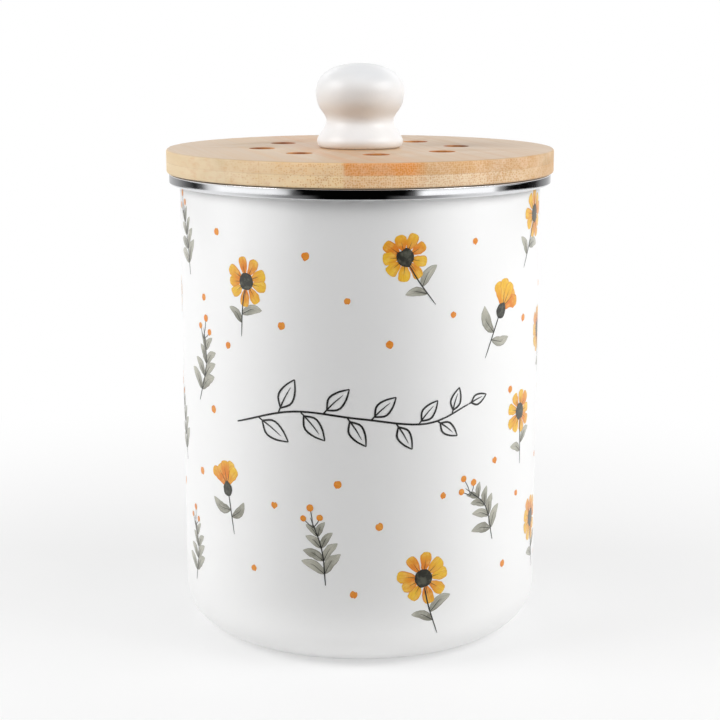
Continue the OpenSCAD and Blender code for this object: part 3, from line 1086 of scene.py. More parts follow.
def leaf_spot(root: Spot, angle: float, length: float, far: float, off: float = 0.0) -> Spot:
    """Finds a place on a leaf.

    Args:
        root: Where the leaf leaves the stem.
        angle: The way it grows, in radians from +X.
        length: Its length.
        far: How far along the place is, as a share of the length.
        off: How far to the side it is, as a share of the length.

    Returns:
        The place on the sheet.
    """
    way, side = (math.cos(angle), math.sin(angle)), (-math.sin(angle), math.cos(angle))
    x, z = (root[k] + length * (far * way[k] + off * side[k]) for k in (0, 1))
    return (x, z)


@dataclass(frozen=True)
class Motif:
    """What every painted motif shares: the lines' widths and the grey leaves."""

    stem_line: float = 0.0005
    vein_line: float = 0.00022
    leaf_wide: float = 0.4

    def strokes(self, dice: random.Random) -> list[Stroke]:
        """Lists the motif's strokes, with small differences from the dice."""
        raise NotImplementedError

    def leaf(self, root: Spot, angle: float, length: float, bow: float) -> list[Stroke]:
        """Lists the strokes of one grey leaf with its inked rib.

        Args:
            root: Where it leaves the stem.
            angle: The way it grows, in radians from +X.
            length: Its length.
            bow: How far it bows to the side, as a share of its length.

        Returns:
            The leaf's strokes.
        """
        half, end = leaf_spot(root, angle, length, 0.5, bow), leaf_spot(root, angle, length, 1.0)
        width = self.leaf_wide * length
        blade = Stroke(Paint.LEAF, (root, half, end), width, 0.75, 0.85, ragged=0.25, rows=3)
        rib = ink((root, half, between(half, end, 0.3)), self.vein_line, 0.1, 0.8, columns=8)
        return [blade, rib]


@dataclass(frozen=True)
class Daisy(Motif):
    """An open daisy on a thin stem with two leaves."""

    head: Spot = (0.0, 0.0055)
    hub_r: float = 0.0021
    disc_r: float = 0.0031
    petals: int = 9
    petal_long: float = 0.0066
    petal_wide: float = 0.0043
    petal_line: float = 0.0002

    def strokes(self, dice: random.Random) -> list[Stroke]:
        """Lists the petals with their veins, the disc, the stem and the leaves."""
        made = []
        for i in range(self.petals):
            angle = i * math.tau / self.petals + dice.uniform(-0.07, 0.07)
            length = self.petal_long * dice.uniform(0.88, 1.1)
            near = polar(self.hub_r, angle, self.head)
            far = polar(length, angle + dice.uniform(-0.12, 0.12), near)
            width = self.petal_wide * dice.uniform(0.88, 1.05)
            made.append(Stroke(Paint.PETAL, (near, far), width, 0.8, 0.35, layer=i % 3, ragged=0.3, rows=3))
            made.append(ink((near, between(near, far, 0.62)), self.petal_line, 0.1, 0.9, columns=4))
        across, level = self.head
        disc = ((across - self.disc_r, level), (across + self.disc_r, level))
        made.append(Stroke(Paint.CENTRE, disc, 2 * self.disc_r, layer=3, ragged=0.25, columns=14, rows=4))
        lean = dice.uniform(-0.003, 0.003)
        stem = ((0.0, level - self.disc_r), (0.3 * lean, -0.005), (lean, -0.0145))
        made.append(ink(stem, self.stem_line, 0.12, 0.3, layer=2))
        made += self.leaf((0.35 * lean, -0.0065), math.radians(28), 0.0092, 0.12)
        made += self.leaf((0.6 * lean, -0.0095), math.radians(155), 0.0080, -0.12)
        return made


@dataclass(frozen=True)
class SideBloom(Motif):
    """A flower seen from the side, with its dark cup and two leaves."""

    petals: tuple[tuple[float, int], ...] = ((142, 0), (38, 1), (116, 1), (64, 0), (90, 2))
    petal_long: float = 0.0088
    petal_wide: float = 0.0046
    veins: tuple[float, ...] = (62, 90, 118)

    def strokes(self, dice: random.Random) -> list[Stroke]:
        """Lists the petals by angle and layer, their veins, the cup, the stem and the leaves."""
        made = []
        for angle, layer in self.petals:
            way = math.radians(angle + dice.uniform(-5, 5))
            length = self.petal_long * dice.uniform(0.9, 1.08)
            mid = (0.5 * length * math.cos(way), 0.002 + 0.62 * length * math.sin(way))
            path = ((0.0, 0.001), mid, polar(length, way, (0.0, 0.002)))
            made.append(Stroke(Paint.PETAL, path, self.petal_wide, 0.8, 0.38, layer=layer, ragged=0.25,
                               rows=3))
        for angle in self.veins:
            way = math.radians(angle)
            tip = (0.0060 * math.cos(way), 0.001 + 0.0072 * math.sin(way))
            made.append(ink(((0.0, 0.002), tip), self.vein_line, 0.1, 0.9, columns=4))
        cup = ((0.0, -0.0024), (0.0, 0.0034))
        made.append(Stroke(Paint.CENTRE, cup, 0.0046, 0.55, 0.75, layer=3, ragged=0.2, columns=12, rows=4))
        lean = dice.uniform(-0.004, 0.004)
        stem = ((0.0, -0.0022), (0.4 * lean, -0.008), (lean, -0.0165))
        made.append(ink(stem, self.stem_line, 0.12, 0.3, layer=2))
        made += self.leaf((0.4 * lean, -0.0075), math.radians(150), 0.0105, 0.14)
        made += self.leaf((0.6 * lean, -0.0100), math.radians(34), 0.0090, -0.12)
        return made


@dataclass(frozen=True)
class BerrySprig(Motif):
    """A leafy sprig with orange berries."""

    stem_line: float = 0.00045
    stalk_line: float = 0.0003
    stalk_low: float = 0.0085
    leaf_long: float = 0.0098
    leaf_less: float = 0.0012
    pairs: tuple[float, ...] = (0.16, 0.34, 0.52, 0.70)
    berry_r: float = 0.0012
    berries: tuple[Spot, ...] = ((-0.0032, 0.0125), (0.0030, 0.0118), (0.0002, 0.0160))

    def strokes(self, dice: random.Random) -> list[Stroke]:
        """Lists the stem, the pairs of leaves at shares of it, and the stalks with their berries."""
        bow = dice.uniform(-0.003, 0.003)
        spine = ((-0.5 * bow, -0.0135), (bow, 0.0), (-0.4 * bow, 0.0125))
        stem = ink(spine, self.stem_line, 0.12, 0.3, layer=2, columns=18)
        made = [stem]
        for i, share in enumerate(self.pairs):
            spot, _ = stem.along(share)
            for side in (-1, 1):
                angle = math.pi / 2 - side * math.radians(54 - 6 * i + dice.uniform(-6, 6))
                made += self.leaf((spot.x, spot.z), angle, self.leaf_long - self.leaf_less * i, 0.1 * side)
        for x, z in self.berries:
            stalk = ((-0.3 * bow, self.stalk_low), (0.6 * x, 0.5 * (self.stalk_low + z)), (x, z))
            made.append(ink(stalk, self.stalk_line, 0.12, 0.12, layer=2, columns=6))
            half = self.berry_r * dice.uniform(0.9, 1.15)
            berry = ((x - half, z), (x + half, z))
            made.append(Stroke(Paint.SPOT, berry, 2 * half, layer=3, ragged=0.2, columns=8, rows=3))
        return made


@dataclass(frozen=True)
class DrawnBranch:
    """The leafy branch that is drawn in ink across the front."""

    half: float = 0.054
    low: float = 0.084
    high: float = 0.126
    line: float = 0.0008
    leaves: int = 10
    leaf_long: float = 0.0165
    leaf_less: float = 0.0006
    end_leaf: float = 0.0100

    def covers(self, spot: Spot, room: float) -> bool:
        """Says whether a place on the sheet lies on the branch, with some room round it."""
        beside = abs(spot[0]) < self.half + room
        return beside and self.low - room < spot[1] < self.high + room

    def strokes(self) -> list[Stroke]:
        """Lists the lines of the stem, of the leaves on both sides and of the one at the end."""
        half, level = self.half, (self.low + self.high) / 2
        stem = ((-half, level - 0.004), (-0.5 * half, level + 0.003), (0.0, level + 0.001),
                (0.5 * half, level - 0.002), (0.86 * half, level + 0.004))
        spine = ink(stem, self.line, 0.08, 0.12, columns=48)
        made = [spine]
        for i in range(self.leaves):
            side = 1 if i % 2 else -1
            length = self.leaf_long - self.leaf_less * i
            made += self.leaf(spine, 0.10 + 0.088 * i, side * math.radians(50), length)
        return made + self.leaf(spine, 1.0, 0.0, self.end_leaf)

    def leaf(self, spine: Stroke, share: float, lean: float, length: float) -> list[Stroke]:
        """Lists the ink lines of one drawn leaf: two bowed sides and a rib.

        Args:
            spine: The stem that it grows from.
            share: Where it leaves the stem, as a share of the stem's length.
            lean: How far it leans away from the stem, in radians.
            length: Its length.

        Returns:
            The leaf's lines.
        """
        spot, ahead = spine.along(share)
        at = partial(leaf_spot, (spot.x, spot.z), math.atan2(ahead.z, ahead.x) + lean, length)
        sides = [ink((at(0.14), at(0.40, bow), at(0.70, 0.8 * bow), at(1.0)), self.line, 0.1, 0.2)
                 for bow in (-0.2, 0.2)]
        return [*sides, ink((at(0.0), at(0.4, 0.02), at(0.78)), 0.8 * self.line, 0.1, 0.5, columns=8)]


@dataclass
class WildflowerPrint:
    """A wildflower print on the wall: daisies, side blooms, berry sprigs, spots and a drawn leafy branch.

    Each motif is painted flat in a few variants and copied. The flat sheets become thin films and are then
    bent round the wall, one piece for each paint.
    """

    wall_r: float = 0.077
    film: float = 0.00002
    first_layer: float = 0.00003
    layer_step: float = 0.00002
    seed: int = 11
    motifs: int = 38
    motif_low: float = 0.030
    motif_high: float = 0.178
    motif_start: float = 0.35
    motif_room: float = 0.012
    kinds: tuple[Motif, ...] = (Daisy(), SideBloom(), BerrySprig())
    variants: int = 3
    branch: DrawnBranch = DrawnBranch()
    spot_size: float = 0.003
    spot_start: float = 1.45
    spot_clear: float = 0.0185
    spot_room: float = 0.004
    spots_tried: int = 110
    golden: float = math.pi * (3 - math.sqrt(5))

    def build(self) -> list[Piece]:
        """Paints the motifs, stamps them over the sheet and bends the sheets round the wall.

        Returns:
            One piece for each paint.
        """
        dice = random.Random(self.seed)
        painted = [self.paint_all(kind.strokes(dice), dice)
                   for _ in range(self.variants) for kind in self.kinds]
        sheets: dict[Paint, list[Piece]] = {paint: [] for paint in Paint}
        for i, (across, height) in enumerate(self.places()):
            turned, size = dice.uniform(-0.6, 0.6), dice.uniform(1.08, 1.24)
            for paint, piece in painted[i % len(painted)].items():
                sheets[paint].append(self.stamp(piece, across, height, turned, size))
        for piece in (piece for motif in painted for piece in motif.values()):
            bpy.data.objects.remove(piece)
        for strokes in (self.branch.strokes(), self.spots(dice)):
            for paint, piece in self.paint_all(strokes, dice).items():
                sheets[paint].append(piece)
        return [self.wrap(paint, pieces) for paint, pieces in sheets.items()]

    def paint_all(self, strokes: Sequence[Stroke], dice: random.Random) -> dict[Paint, Piece]:
        """Paints strokes on the flat sheet and joins those of one paint.

        Args:
            strokes: The strokes.
            dice: Where each stroke's tint comes from.

        Returns:
            A flat mesh for each paint in use.
        """
        made: dict[Paint, list[Piece]] = {}
        for stroke in strokes:
            made.setdefault(stroke.paint, []).append(self.paint_one(stroke, dice.random()))
        return {paint: join(pieces, paint.value) for paint, pieces in made.items()}

    def paint_one(self, stroke: Stroke, tint: float) -> Piece:
        """Shapes a grid into one stroke, with its ends closed and its tint on every vertex.

        Args:
            stroke: The stroke.
            tint: A number from 0 to 1 that its colour follows.

        Returns:
            The flat mesh.
        """
        deselect_all()
        bpy.ops.mesh.primitive_grid_add(x_subdivisions=stroke.columns, y_subdivisions=stroke.rows, size=1.0)
        piece = bpy.context.object
        out = Vector((0.0, -self.first_layer - stroke.layer * self.layer_step, 0.0))
        for vertex in piece.data.vertices:
            share = (1 - math.cos(math.pi * min(max(vertex.co.x + 0.5, 0.0), 1.0))) / 2
            vertex.co = stroke.spot(share, vertex.co.y, tint) + out
        with editing(piece, whole=True):
            bpy.ops.mesh.remove_doubles(threshold=TINY / 10)
        marks = piece.data.attributes.new(TINT, "FLOAT", "POINT").data
        marks.foreach_set("value", [tint] * len(marks))
        return piece

    @staticmethod
    def stamp(motif: Piece, across: float, height: float, turned: float, size: float) -> Piece:
        """Copies a flat motif to its place on the sheet.

        Args:
            motif: The motif's mesh in one paint.
            across: Its place along the wall.
            height: Its height.
            turned: How far it leans, in radians.
            size: Its size against the first one.

        Returns:
            The copy.
        """
        piece = motif.copy()
        piece.data = motif.data.copy()
        bpy.context.scene.collection.objects.link(piece)
        piece.location = (across, 0.0, height)
        piece.rotation_euler = (0.0, turned, 0.0)
        piece.scale = (size, 1.0, size)
        return settle(piece)

    def wrap(self, paint: Paint, pieces: Sequence[Piece]) -> Piece:
        """Joins one paint's sheets, gives them a film's thickness and bends them round the wall.

        Args:
            paint: The paint.
            pieces: Its flat meshes.

        Returns:
            The piece on the wall.
        """
        sheet = join(pieces, paint.value)
        apply_modifier(sheet, "SOLIDIFY", thickness=self.film, offset=-1.0)
        across = [vertex.co.x for vertex in sheet.data.vertices]
        turned = (max(across) - min(across)) / self.wall_r
        apply_modifier(sheet, "SIMPLE_DEFORM", deform_method="BEND", deform_axis="Z", angle=turned)
        with editing(sheet, whole=True):
            bpy.ops.transform.translate(value=(0.0, -self.wall_r, 0.0))
        finishes = {
            Paint.PETAL: Finishes.PETAL_PAINT, Paint.LEAF: Finishes.LEAF_PAINT,
            Paint.SPOT: Finishes.SPOT_PAINT, Paint.CENTRE: Finishes.CENTRE_PAINT, Paint.INK: Finishes.INK,
        }
        return install(smooth(sheet), "caddy", "enamel", finishes[paint])

    def places(self) -> list[Spot]:
        """Spreads the motifs evenly over the wall on a golden spiral, round the drawn branch.

        Returns:
            Each motif's place along the wall and its height.
        """
        spread = self.spiral(self.motifs, self.motif_start)
        return [spot for spot in spread if not self.branch.covers(spot, self.motif_room)]

    def spiral(self, count: int, start: float) -> list[Spot]:
        """Lists even places on the unrolled wall from its foot to its top, from a starting angle."""
        tall = self.motif_high - self.motif_low
        made = []
        for i in range(count):
            angle = (start + i * self.golden + math.pi) % math.tau - math.pi
            made.append((angle * self.wall_r, self.motif_low + tall * (i + 0.5) / count))
        return made

    def gap(self, first: Spot, second: Spot) -> float:
        """Measures between two places on the wall, the shorter way round."""
        half_turn = math.pi * self.wall_r
        across = (first[0] - second[0] + half_turn) % (2 * half_turn) - half_turn
        return math.hypot(across, first[1] - second[1])

    def spots(self, dice: random.Random) -> list[Stroke]:
        """Lists small round spots in the gaps between the motifs.

        Args:
            dice: Where their small differences come from.

        Returns:
            The spots' strokes.
        """
        taken = self.places()
        made = []
        for spot in self.spiral(self.spots_tried, self.spot_start):
            near = min(self.gap(spot, other) for other in taken)
            if near < self.spot_clear or self.branch.covers(spot, self.spot_room):
                continue
            taken.append(spot)
            x, z = spot
            half = self.spot_size * dice.uniform(0.42, 0.56)
            path = ((x - half, z), (x + half, z + half * dice.uniform(-0.3, 0.3)))
            made.append(Stroke(Paint.SPOT, path, 2 * half, ragged=0.5, columns=8, rows=3))
        return made


@dataclass
class RimBand:
    """The polished band that is rolled over the shell's edge."""

    mouth_r: float = 0.07535
    wall_r: float = 0.077
    wall_gap: float = 0.0001
    sheet: float = 0.0006
    face_h: float = 0.0043
    leg_h: float = 0.009
    mouth_round: float = 0.0007
    top_round: float = 0.0004
    low_round: float = 0.0008
    sides: int = 256

    def build(self) -> Piece:
        """Turns the rolled section and dresses it.

        Returns:
            The rim band.
        """
        _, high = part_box("rim_band")
        corners = [
            Corner(self.mouth_r, high.z - self.leg_h),
            Corner(self.mouth_r, high.z, self.mouth_round),
            Corner(high.x, high.z, self.top_round),
            Corner(high.x, high.z - self.face_h, self.low_round),
            Corner(self.wall_r + self.wall_gap, high.z - self.face_h),
        ]
        band = turn("rim_polished", rounded(corners, steps=8), self.sides)
        apply_modifier(band, "SOLIDIFY", thickness=self.sheet, offset=-1.0, use_even_offset=True)
        return install(smooth(band), "caddy", "polished_steel", Finishes.RIM, "rim_band")


@dataclass
class LidBoard:
    """The two bamboo plies with their vent holes, screw hole and counterbore."""

    edge_r: float = 0.001
    seam_r: float = 0.0001
    edge_steps: int = 5
    hole_edge: float = 0.0003
    vents: VentRing = VentRing()
    screw_r: float = 0.00275
    counterbore_r: float = 0.00675
    counterbore_h: float = 0.0037
    cage_screws: int = 4
    cage_ring: float = 0.0597
    pilot_r: float = 0.0015
    pilot_h: float = 0.0045
    sides: int = 256
    wide_sides: int = 64
    screw_sides: int = 48
    pilot_sides: int = 24
    overcut: float = 0.001

    def build(self) -> list[Piece]:
        """Models both plies and dresses them.

        Returns:
            The upper and the lower ply.
        """
        upper = self.ply("lid_upper_board", "lid_top_ply", self.edge_r, self.seam_r)
        lower = self.ply("lid_lower_board", "lid_bottom_ply", self.seam_r, self.edge_r)
        return [
            install(upper, "lid", "bamboo", Finishes.BOARD, "lid_top_ply"),
            install(lower, "lid", "bamboo_under", Finishes.UNDER_BOARD, "lid_bottom_ply"),
        ]

    def ply(self, name: str, node: str, top_r: float, low_r: float) -> Piece:
        """Models one ply: a round board with eased edges and its holes.

        Args:
            name: The piece's name.
            node: The node that it stands for.
            top_r: Rounding of its upper edge.
            low_r: Rounding of its lower edge.

        Returns:
            The ply.
        """
        low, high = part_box(node)
        board = add_cylinder(name, high.x, low.z, high.z, self.sides)
        for level, radius in ((high.z, top_r), (low.z, low_r)):
            with editing(board):
                round_edges(board, radius, self.edge_steps, lambda middle, way: abs(middle.z - level) < TINY)
        cut(board, self.cutters(low.z, high.z, node == "lid_bottom_ply"))
        ease_edges(board, self.hole_edge, 3, 60)
        return smooth(board, math.radians(30))

    def cutters(self, low: float, high: float, under: bool) -> Piece:
        """Makes the drills: vents and screw hole, and the counterbore and pilots on the lower ply.

        Args:
            low: The ply's lower face.
            high: The ply's upper face.
            under: Whether this is the lower ply.

        Returns:
            All drills as one mesh.
        """
        start, end = low - self.overcut, high + self.overcut
        drills = [add_cylinder("drill", self.screw_r, start, end, self.screw_sides)]
        for spot in ring_spots(self.vents.count, self.vents.ring_r, turned=self.vents.turned):
            drills.append(add_cylinder("drill", self.vents.hole_r, start, end, self.wide_sides, spot))
        if under:
            end = low + self.counterbore_h
            drills.append(add_cylinder("drill", self.counterbore_r, start, end, self.wide_sides))
            end = low + self.pilot_h
            for spot in ring_spots(self.cage_screws, self.cage_ring, shift=0.5):
                drills.append(add_cylinder("drill", self.pilot_r, start, end, self.pilot_sides, spot))
        return join(drills, "drills")


@dataclass
class Knob:
    """The glazed ball knob with the fixing that holds it."""

    ball_r: float = 0.0188
    ball_z: float = 0.0235
    waist_r: float = 0.0144
    waist_z: float = 0.0113
    foot_r: float = 0.0183
    foot_z: float = 0.0028
    foot_round: float = 0.0024
    arc_reach: float = 0.55
    pocket_r: float = 0.00455
    pocket_h: float = 0.0134
    sides: int = 128

    def build(self) -> list[Piece]:
        """Turns the knob, dresses it and the metal pieces that hold it.

        Returns:
            The new pieces.
        """
        knob = turn("knob_glazed", self.outline(), self.sides)
        for node, finish in (("knob_insert", Finishes.BRASS), ("knob_washer", Finishes.ZINC),
                             ("knob_screw", Finishes.ZINC)):
            dress_node(node, finish)
        return [install(knob, "lid", "glazed_knob", Finishes.GLAZE, "knob")]

    def outline(self) -> list[Vector]:
        """Works out the half outline, from the pocket's middle round the foot to the top.

        Returns:
            The points in the XZ plane.
        """
        low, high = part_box("knob")
        tall = high.z - low.z
        base_r = self.foot_r - self.foot_round
        foot, waist = (self.foot_r, self.foot_z), (self.waist_r, self.waist_z)
        ball, top = (self.ball_r, self.ball_z), (0.0, tall)
        lower, middle, upper = self.waist_z - self.foot_z, self.ball_z - self.waist_z, tall - self.ball_z
        spots = ((0.0, self.pocket_h), (self.pocket_r, self.pocket_h), (self.pocket_r, 0.0), (base_r, 0.0))
        points = [Vector((r, 0.0, z)) for r, z in spots]
        curves = (
            (spots[-1], (base_r + self.foot_round * self.arc_reach, 0.0),
             (self.foot_r, self.foot_z * (1 - self.arc_reach)), foot, 8),
            (foot, (self.foot_r, self.foot_z + 0.27 * lower),
             (self.waist_r, self.waist_z - 0.31 * lower), waist, 16),
            (waist, (self.waist_r, self.waist_z + 0.32 * middle),
             (self.ball_r, self.ball_z - 0.65 * middle), ball, 20),
            (ball, (self.ball_r, self.ball_z + 0.7 * upper), (self.arc_reach * self.ball_r, tall), top, 26),
        )
        for *ends, steps in curves:
            points += bezier(ends, steps)
        return [point + Vector((0.0, 0.0, low.z)) for point in points]


@dataclass
class Plug:
    """The bamboo ring that drops into the mouth, with the silicone seal in its groove."""

    wide: float = 0.007
    chamfer: float = 0.001
    groove_drop: float = 0.003
    groove_h: float = 0.004
    groove_depth: float = 0.002
    edge_r: float = 0.0003
    seal_wide: float = 0.005
    lip_reach: float = 0.00245
    lip_t: float = 0.0008
    lip_edge_t: float = 0.00048
    lip_droop: float = 0.0007
    lip_start: float = 0.2
    sides: int = 192

    def build(self) -> list[Piece]:
        """Turns the ring and its seal.

        Returns:
            The ring and the seal.
        """
        ring = turn("plug_bamboo", rounded(self.ring_corners(), steps=4, closed=True), self.sides)
        seal = turn("seal_silicone", rounded(self.seal_corners(), steps=4, closed=True), self.sides)
        return [
            install(ring, "lid", "bamboo_plug", Finishes.PLUG, "plug_ring"),
            install(seal, "lid", "silicone", Finishes.SEAL, "seal_ring"),
        ]

    def ring_corners(self) -> list[Corner]:
        """Lists the corners of the ring's section, with its chamfer and its groove."""
        low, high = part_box("plug_ring")
        inner, bottom = high.x - self.wide, high.x - self.groove_depth
        groove_top = high.z - self.groove_drop
        groove_low = groove_top - self.groove_h
        return [
            Corner(inner, high.z), Corner(inner, low.z, 2 * self.edge_r),
            Corner(high.x - self.chamfer, low.z, self.edge_r),
            Corner(high.x, low.z + self.chamfer, self.edge_r),
            Corner(high.x, groove_low, self.edge_r), Corner(bottom, groove_low), Corner(bottom, groove_top),
            Corner(high.x, groove_top, self.edge_r), Corner(high.x, high.z),
        ]

    def seal_corners(self) -> list[Corner]:
        """Lists the corners of the seal's section: a base and two drooping lips."""
        low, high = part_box("seal_ring")
        root, droop = high.x - self.lip_reach, self.lip_droop
        thinner = self.lip_t - self.lip_edge_t
        nook, edge_round = 0.4 * self.edge_r, 0.4 * self.lip_edge_t
        corners = [Corner(high.x - self.seal_wide, low.z), Corner(root, low.z, nook)]
        for under in (low.z + droop, high.z - self.lip_t):
            edge = under - droop
            corners += [
                Corner(root, under - self.lip_start * droop, nook),
                Corner(high.x, edge, edge_round), Corner(high.x, edge + self.lip_edge_t, edge_round),
                Corner(root, under + self.lip_t - self.lip_start * (droop + thinner), nook),
            ]
        return corners + [Corner(root, high.z), Corner(high.x - self.seal_wide, high.z)]


@dataclass
class Filter:
    """The filter under the board: cage with ramps, screw-in tray and charcoal pad.

    Ramps, stops and lugs are placed for the locked tray: each lug lies a hair above the end of its ramp,
    and a stop stands just past it. Ramps and lugs run a little into the walls that carry them.
    """

    cage_wall: float = 0.0018
    flange_w: float = 0.009
    flange_t: float = 0.002
    moulded_r: float = 0.0005
    tray_round: float = 0.0008
    ease: float = 0.0002
    screws: int = 4
    screw_ring: float = 0.0597
    hole_r: float = 0.0017
    head_r: float = 0.00285
    head_h: float = 0.00135
    hole_sides: int = 32
    starts: int = 3
    lock_turn: float = math.radians(90)
    ramp_span: float = math.radians(70)
    lug_span: float = math.radians(20)
    pitch: float = 0.024
    block_step: float = math.radians(4)
    ramp_in: float = 0.0518
    ramp_out: float = 0.0543
    ramp_low: float = 0.183583
    ramp_h: float = 0.0016
    stop_turn: float = math.radians(1)
    stop_span: float = math.radians(4)
    stop_low: float = 0.18905
    stop_h: float = 0.00305
    lug_in: float = 0.0506
    lug_out: float = 0.053
    lug_low: float = 0.188767
    lug_h: float = 0.002
    tray_r: float = 0.0514
    tray_wall: float = 0.0016
    floor_z: float = 0.1841
    floor_t: float = 0.002
    grip_long: float = 0.046
    grip_wide: float = 0.005
    grip_round: float = 0.499
    grip_edge: float = 0.001
    grip_clear: float = 0.001
    vent_r: float = 0.003
    vent_step: float = 0.011
    vent_rings: int = 4
    vent_sides: int = 24
    pad_round: float = 0.0014
    pad_cell: float = 0.0012
    pad_rough: float = 0.0003
    pad_pores: float = 0.0022
    sides: int = 160

    def build(self) -> list[Piece]:
        """Models cage, tray and pad and dresses the screws.

        Returns:
            The new pieces.
        """
        dress_node("cage_screws_set", Finishes.ZINC)
        return [
            install(self.cage(), "lid", "cage_plastic", Finishes.PLASTIC, "filter_cage"),
            install(self.tray(), "tray", "tray_plastic", Finishes.PLASTIC, "filter_tray"),
            install(self.pad(), "filter", "charcoal", Finishes.CHARCOAL, "filter_pad"),
        ]

    def cage(self) -> Piece:
        """Turns the cage, adds its ramps and stops and sinks its screw holes.

        Returns:
            The cage.
        """
        low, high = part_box("filter_cage")
        wall = high.x - self.flange_w
        inner, under = wall - self.cage_wall, high.z - self.flange_t
        corners = [
            Corner(inner, high.z), Corner(inner, low.z, self.moulded_r),
            Corner(wall, low.z, self.moulded_r), Corner(wall, under, self.moulded_r),
            Corner(high.x, under, self.moulded_r), Corner(high.x, high.z),
        ]
        cage = turn("cage_moulded", rounded(corners, steps=4, closed=True), self.sides)
        reach, blocks = (self.ramp_in, self.ramp_out), []
        for end in self.lock_turns():
            first = end - self.ramp_span
            blocks.append(self.climbing_block(reach, self.ramp_low, self.ramp_h, first, self.ramp_span))
            first = end + self.stop_turn
            blocks.append(self.climbing_block(reach, self.stop_low, self.stop_h, first, self.stop_span,
                                              climbs=False))
        unite(cage, join(blocks, "ramps"))
        start, end = under - self.flange_t, high.z + self.flange_t
        for spot in ring_spots(self.screws, self.screw_ring, shift=0.5):
            hole = add_cylinder("drill", self.hole_r, start, end, self.hole_sides, spot)
            deselect_all()
            bpy.ops.mesh.primitive_cone_add(
                vertices=self.hole_sides, radius1=self.head_r, radius2=self.hole_r, depth=self.head_h,
                location=(*spot, under + self.head_h / 2 - TINY),
            )
            head = settle(bpy.context.object)
            cut(cage, hole)
            cut(cage, head)
        return smooth(cage)

    def lock_turns(self) -> list[float]:
        """Lists where each lug's end stands when the tray is locked, in radians from +X."""
        return [self.lock_turn + i * math.tau / self.starts for i in range(self.starts)]

    def climbing_block(self, reach: tuple[float, float], low: float, tall: float, first: float,
                       span: float, climbs: bool = True) -> Piece:
        """Shapes a subdivided cube into a block that runs round the axis and climbs with the thread.

        Args:
            reach: Its inner and its outer radius.
            low: Height of its lower face at its first end.
            tall: Its height.
            first: Where it starts, in radians from +X.
            span: The angle that it covers.
            climbs: Whether it follows the thread or stays level.

        Returns:
            The block.
        """
        deselect_all()
        bpy.ops.mesh.primitive_cube_add(size=1.0)
        block = bpy.context.object
        with editing(block):
            pick(block, Part.EDGE, lambda middle, way: abs(way.x) > NEAR_ONE)
            bpy.ops.mesh.subdivide(number_cuts=max(1, round(span / self.block_step)))
        climb = self.pitch * span / math.tau if climbs else 0.0
        for vertex in block.data.vertices:
            along, out, up = (value + 0.5 for value in vertex.co)
            x, y = polar(reach[0] + out * (reach[1] - reach[0]), first + along * span)
            vertex.co = (x, y, low + along * climb + up * tall)
        with editing(block, whole=True):
            bpy.ops.mesh.normals_make_consistent(inside=False)
        return block

    def tray(self) -> Piece:
        """Turns the tray, adds its lugs and finger grip and drills its floor.

        Returns:
            The tray.
        """
        low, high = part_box("filter_tray")
        inner, floor_top = self.tray_r - self.tray_wall, self.floor_z + self.floor_t
        corners = [
            Corner(0.0, self.floor_z), Corner(self.tray_r, self.floor_z, self.tray_round),
            Corner(self.tray_r, high.z, self.moulded_r), Corner(inner, high.z, self.moulded_r),
            Corner(inner, floor_top, self.moulded_r), Corner(0.0, floor_top),
        ]
        tray = turn("tray_moulded", rounded(corners, steps=4), self.sides)
        reach = (self.lug_in, self.lug_out)
        lugs = [self.climbing_block(reach, self.lug_low, self.lug_h, end - self.lug_span, self.lug_span)
                for end in self.lock_turns()]
        unite(tray, join([*lugs, self.grip(low.z)], "lugs"))
        cut(tray, self.floor_drills())
        ease_edges(tray, self.ease, 2, 50)
        return smooth(tray)

    def grip(self, low: float) -> Piece:
        """Models the finger grip: a bar with round ends and an eased lower edge."""
        deselect_all()
        top = self.floor_z + self.floor_t / 2
        bpy.ops.mesh.primitive_cube_add(size=1.0, location=(0.0, 0.0, (low + top) / 2))
        grip = bpy.context.object
        grip.scale = (self.grip_long, self.grip_wide, top - low)
        settle(grip)
        with editing(grip):
            round_edges(grip, self.grip_round * self.grip_wide, 8, lambda middle, way: abs(way.z) > NEAR_ONE)
            bpy.ops.mesh.select_all(action="SELECT")
            bpy.ops.mesh.remove_doubles(threshold=2 * TINY)
            round_edges(grip, self.grip_edge, 4, lambda middle, way: middle.z < low + TINY)
        return grip

    def floor_drills(self) -> Piece:
        """Makes the drills of the floor's holes, in rings that leave the grip's place free."""
        start, end = self.floor_z - self.floor_t, self.floor_z + 2 * self.floor_t
        room = self.vent_r + self.grip_clear
        drills = []
        for ring in range(1, self.vent_rings + 1):
            for x, y in ring_spots(6 * ring, ring * self.vent_step, shift=0.5):
                if abs(y) < self.grip_wide / 2 + room and abs(x) < self.grip_long / 2 + room:
                    continue
                drills.append(add_cylinder("drill", self.vent_r, start, end, self.vent_sides, (x, y)))
        return join(drills, "drills")

    def pad(self) -> Piece:
        """Turns the pad's outline, remeshes it evenly and roughens it as cut foam.

        Returns:
            The pad.
        """
        low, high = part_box("filter_pad")
        inset = self.pad_rough / 2
        edge, bottom, top = high.x - inset, low.z + inset, high.z - inset
        corners = [Corner(0.0, bottom), Corner(edge, bottom, self.pad_round),
                   Corner(edge, top, self.pad_round), Corner(0.0, top)]
        pad = turn("pad_charcoal", rounded(corners, steps=4), self.sides)
        apply_modifier(pad, "REMESH", mode="VOXEL", voxel_size=self.pad_cell)
        pores = bpy.data.textures.new("foam_pores", "CLOUDS")
        pores.noise_scale = self.pad_pores
        apply_modifier(pad, "DISPLACE", texture=pores, texture_coords="LOCAL", strength=self.pad_rough)
        return smooth(pad, math.radians(60))


# The studio: camera, lamps, world, floor and what the polished rim mirrors.


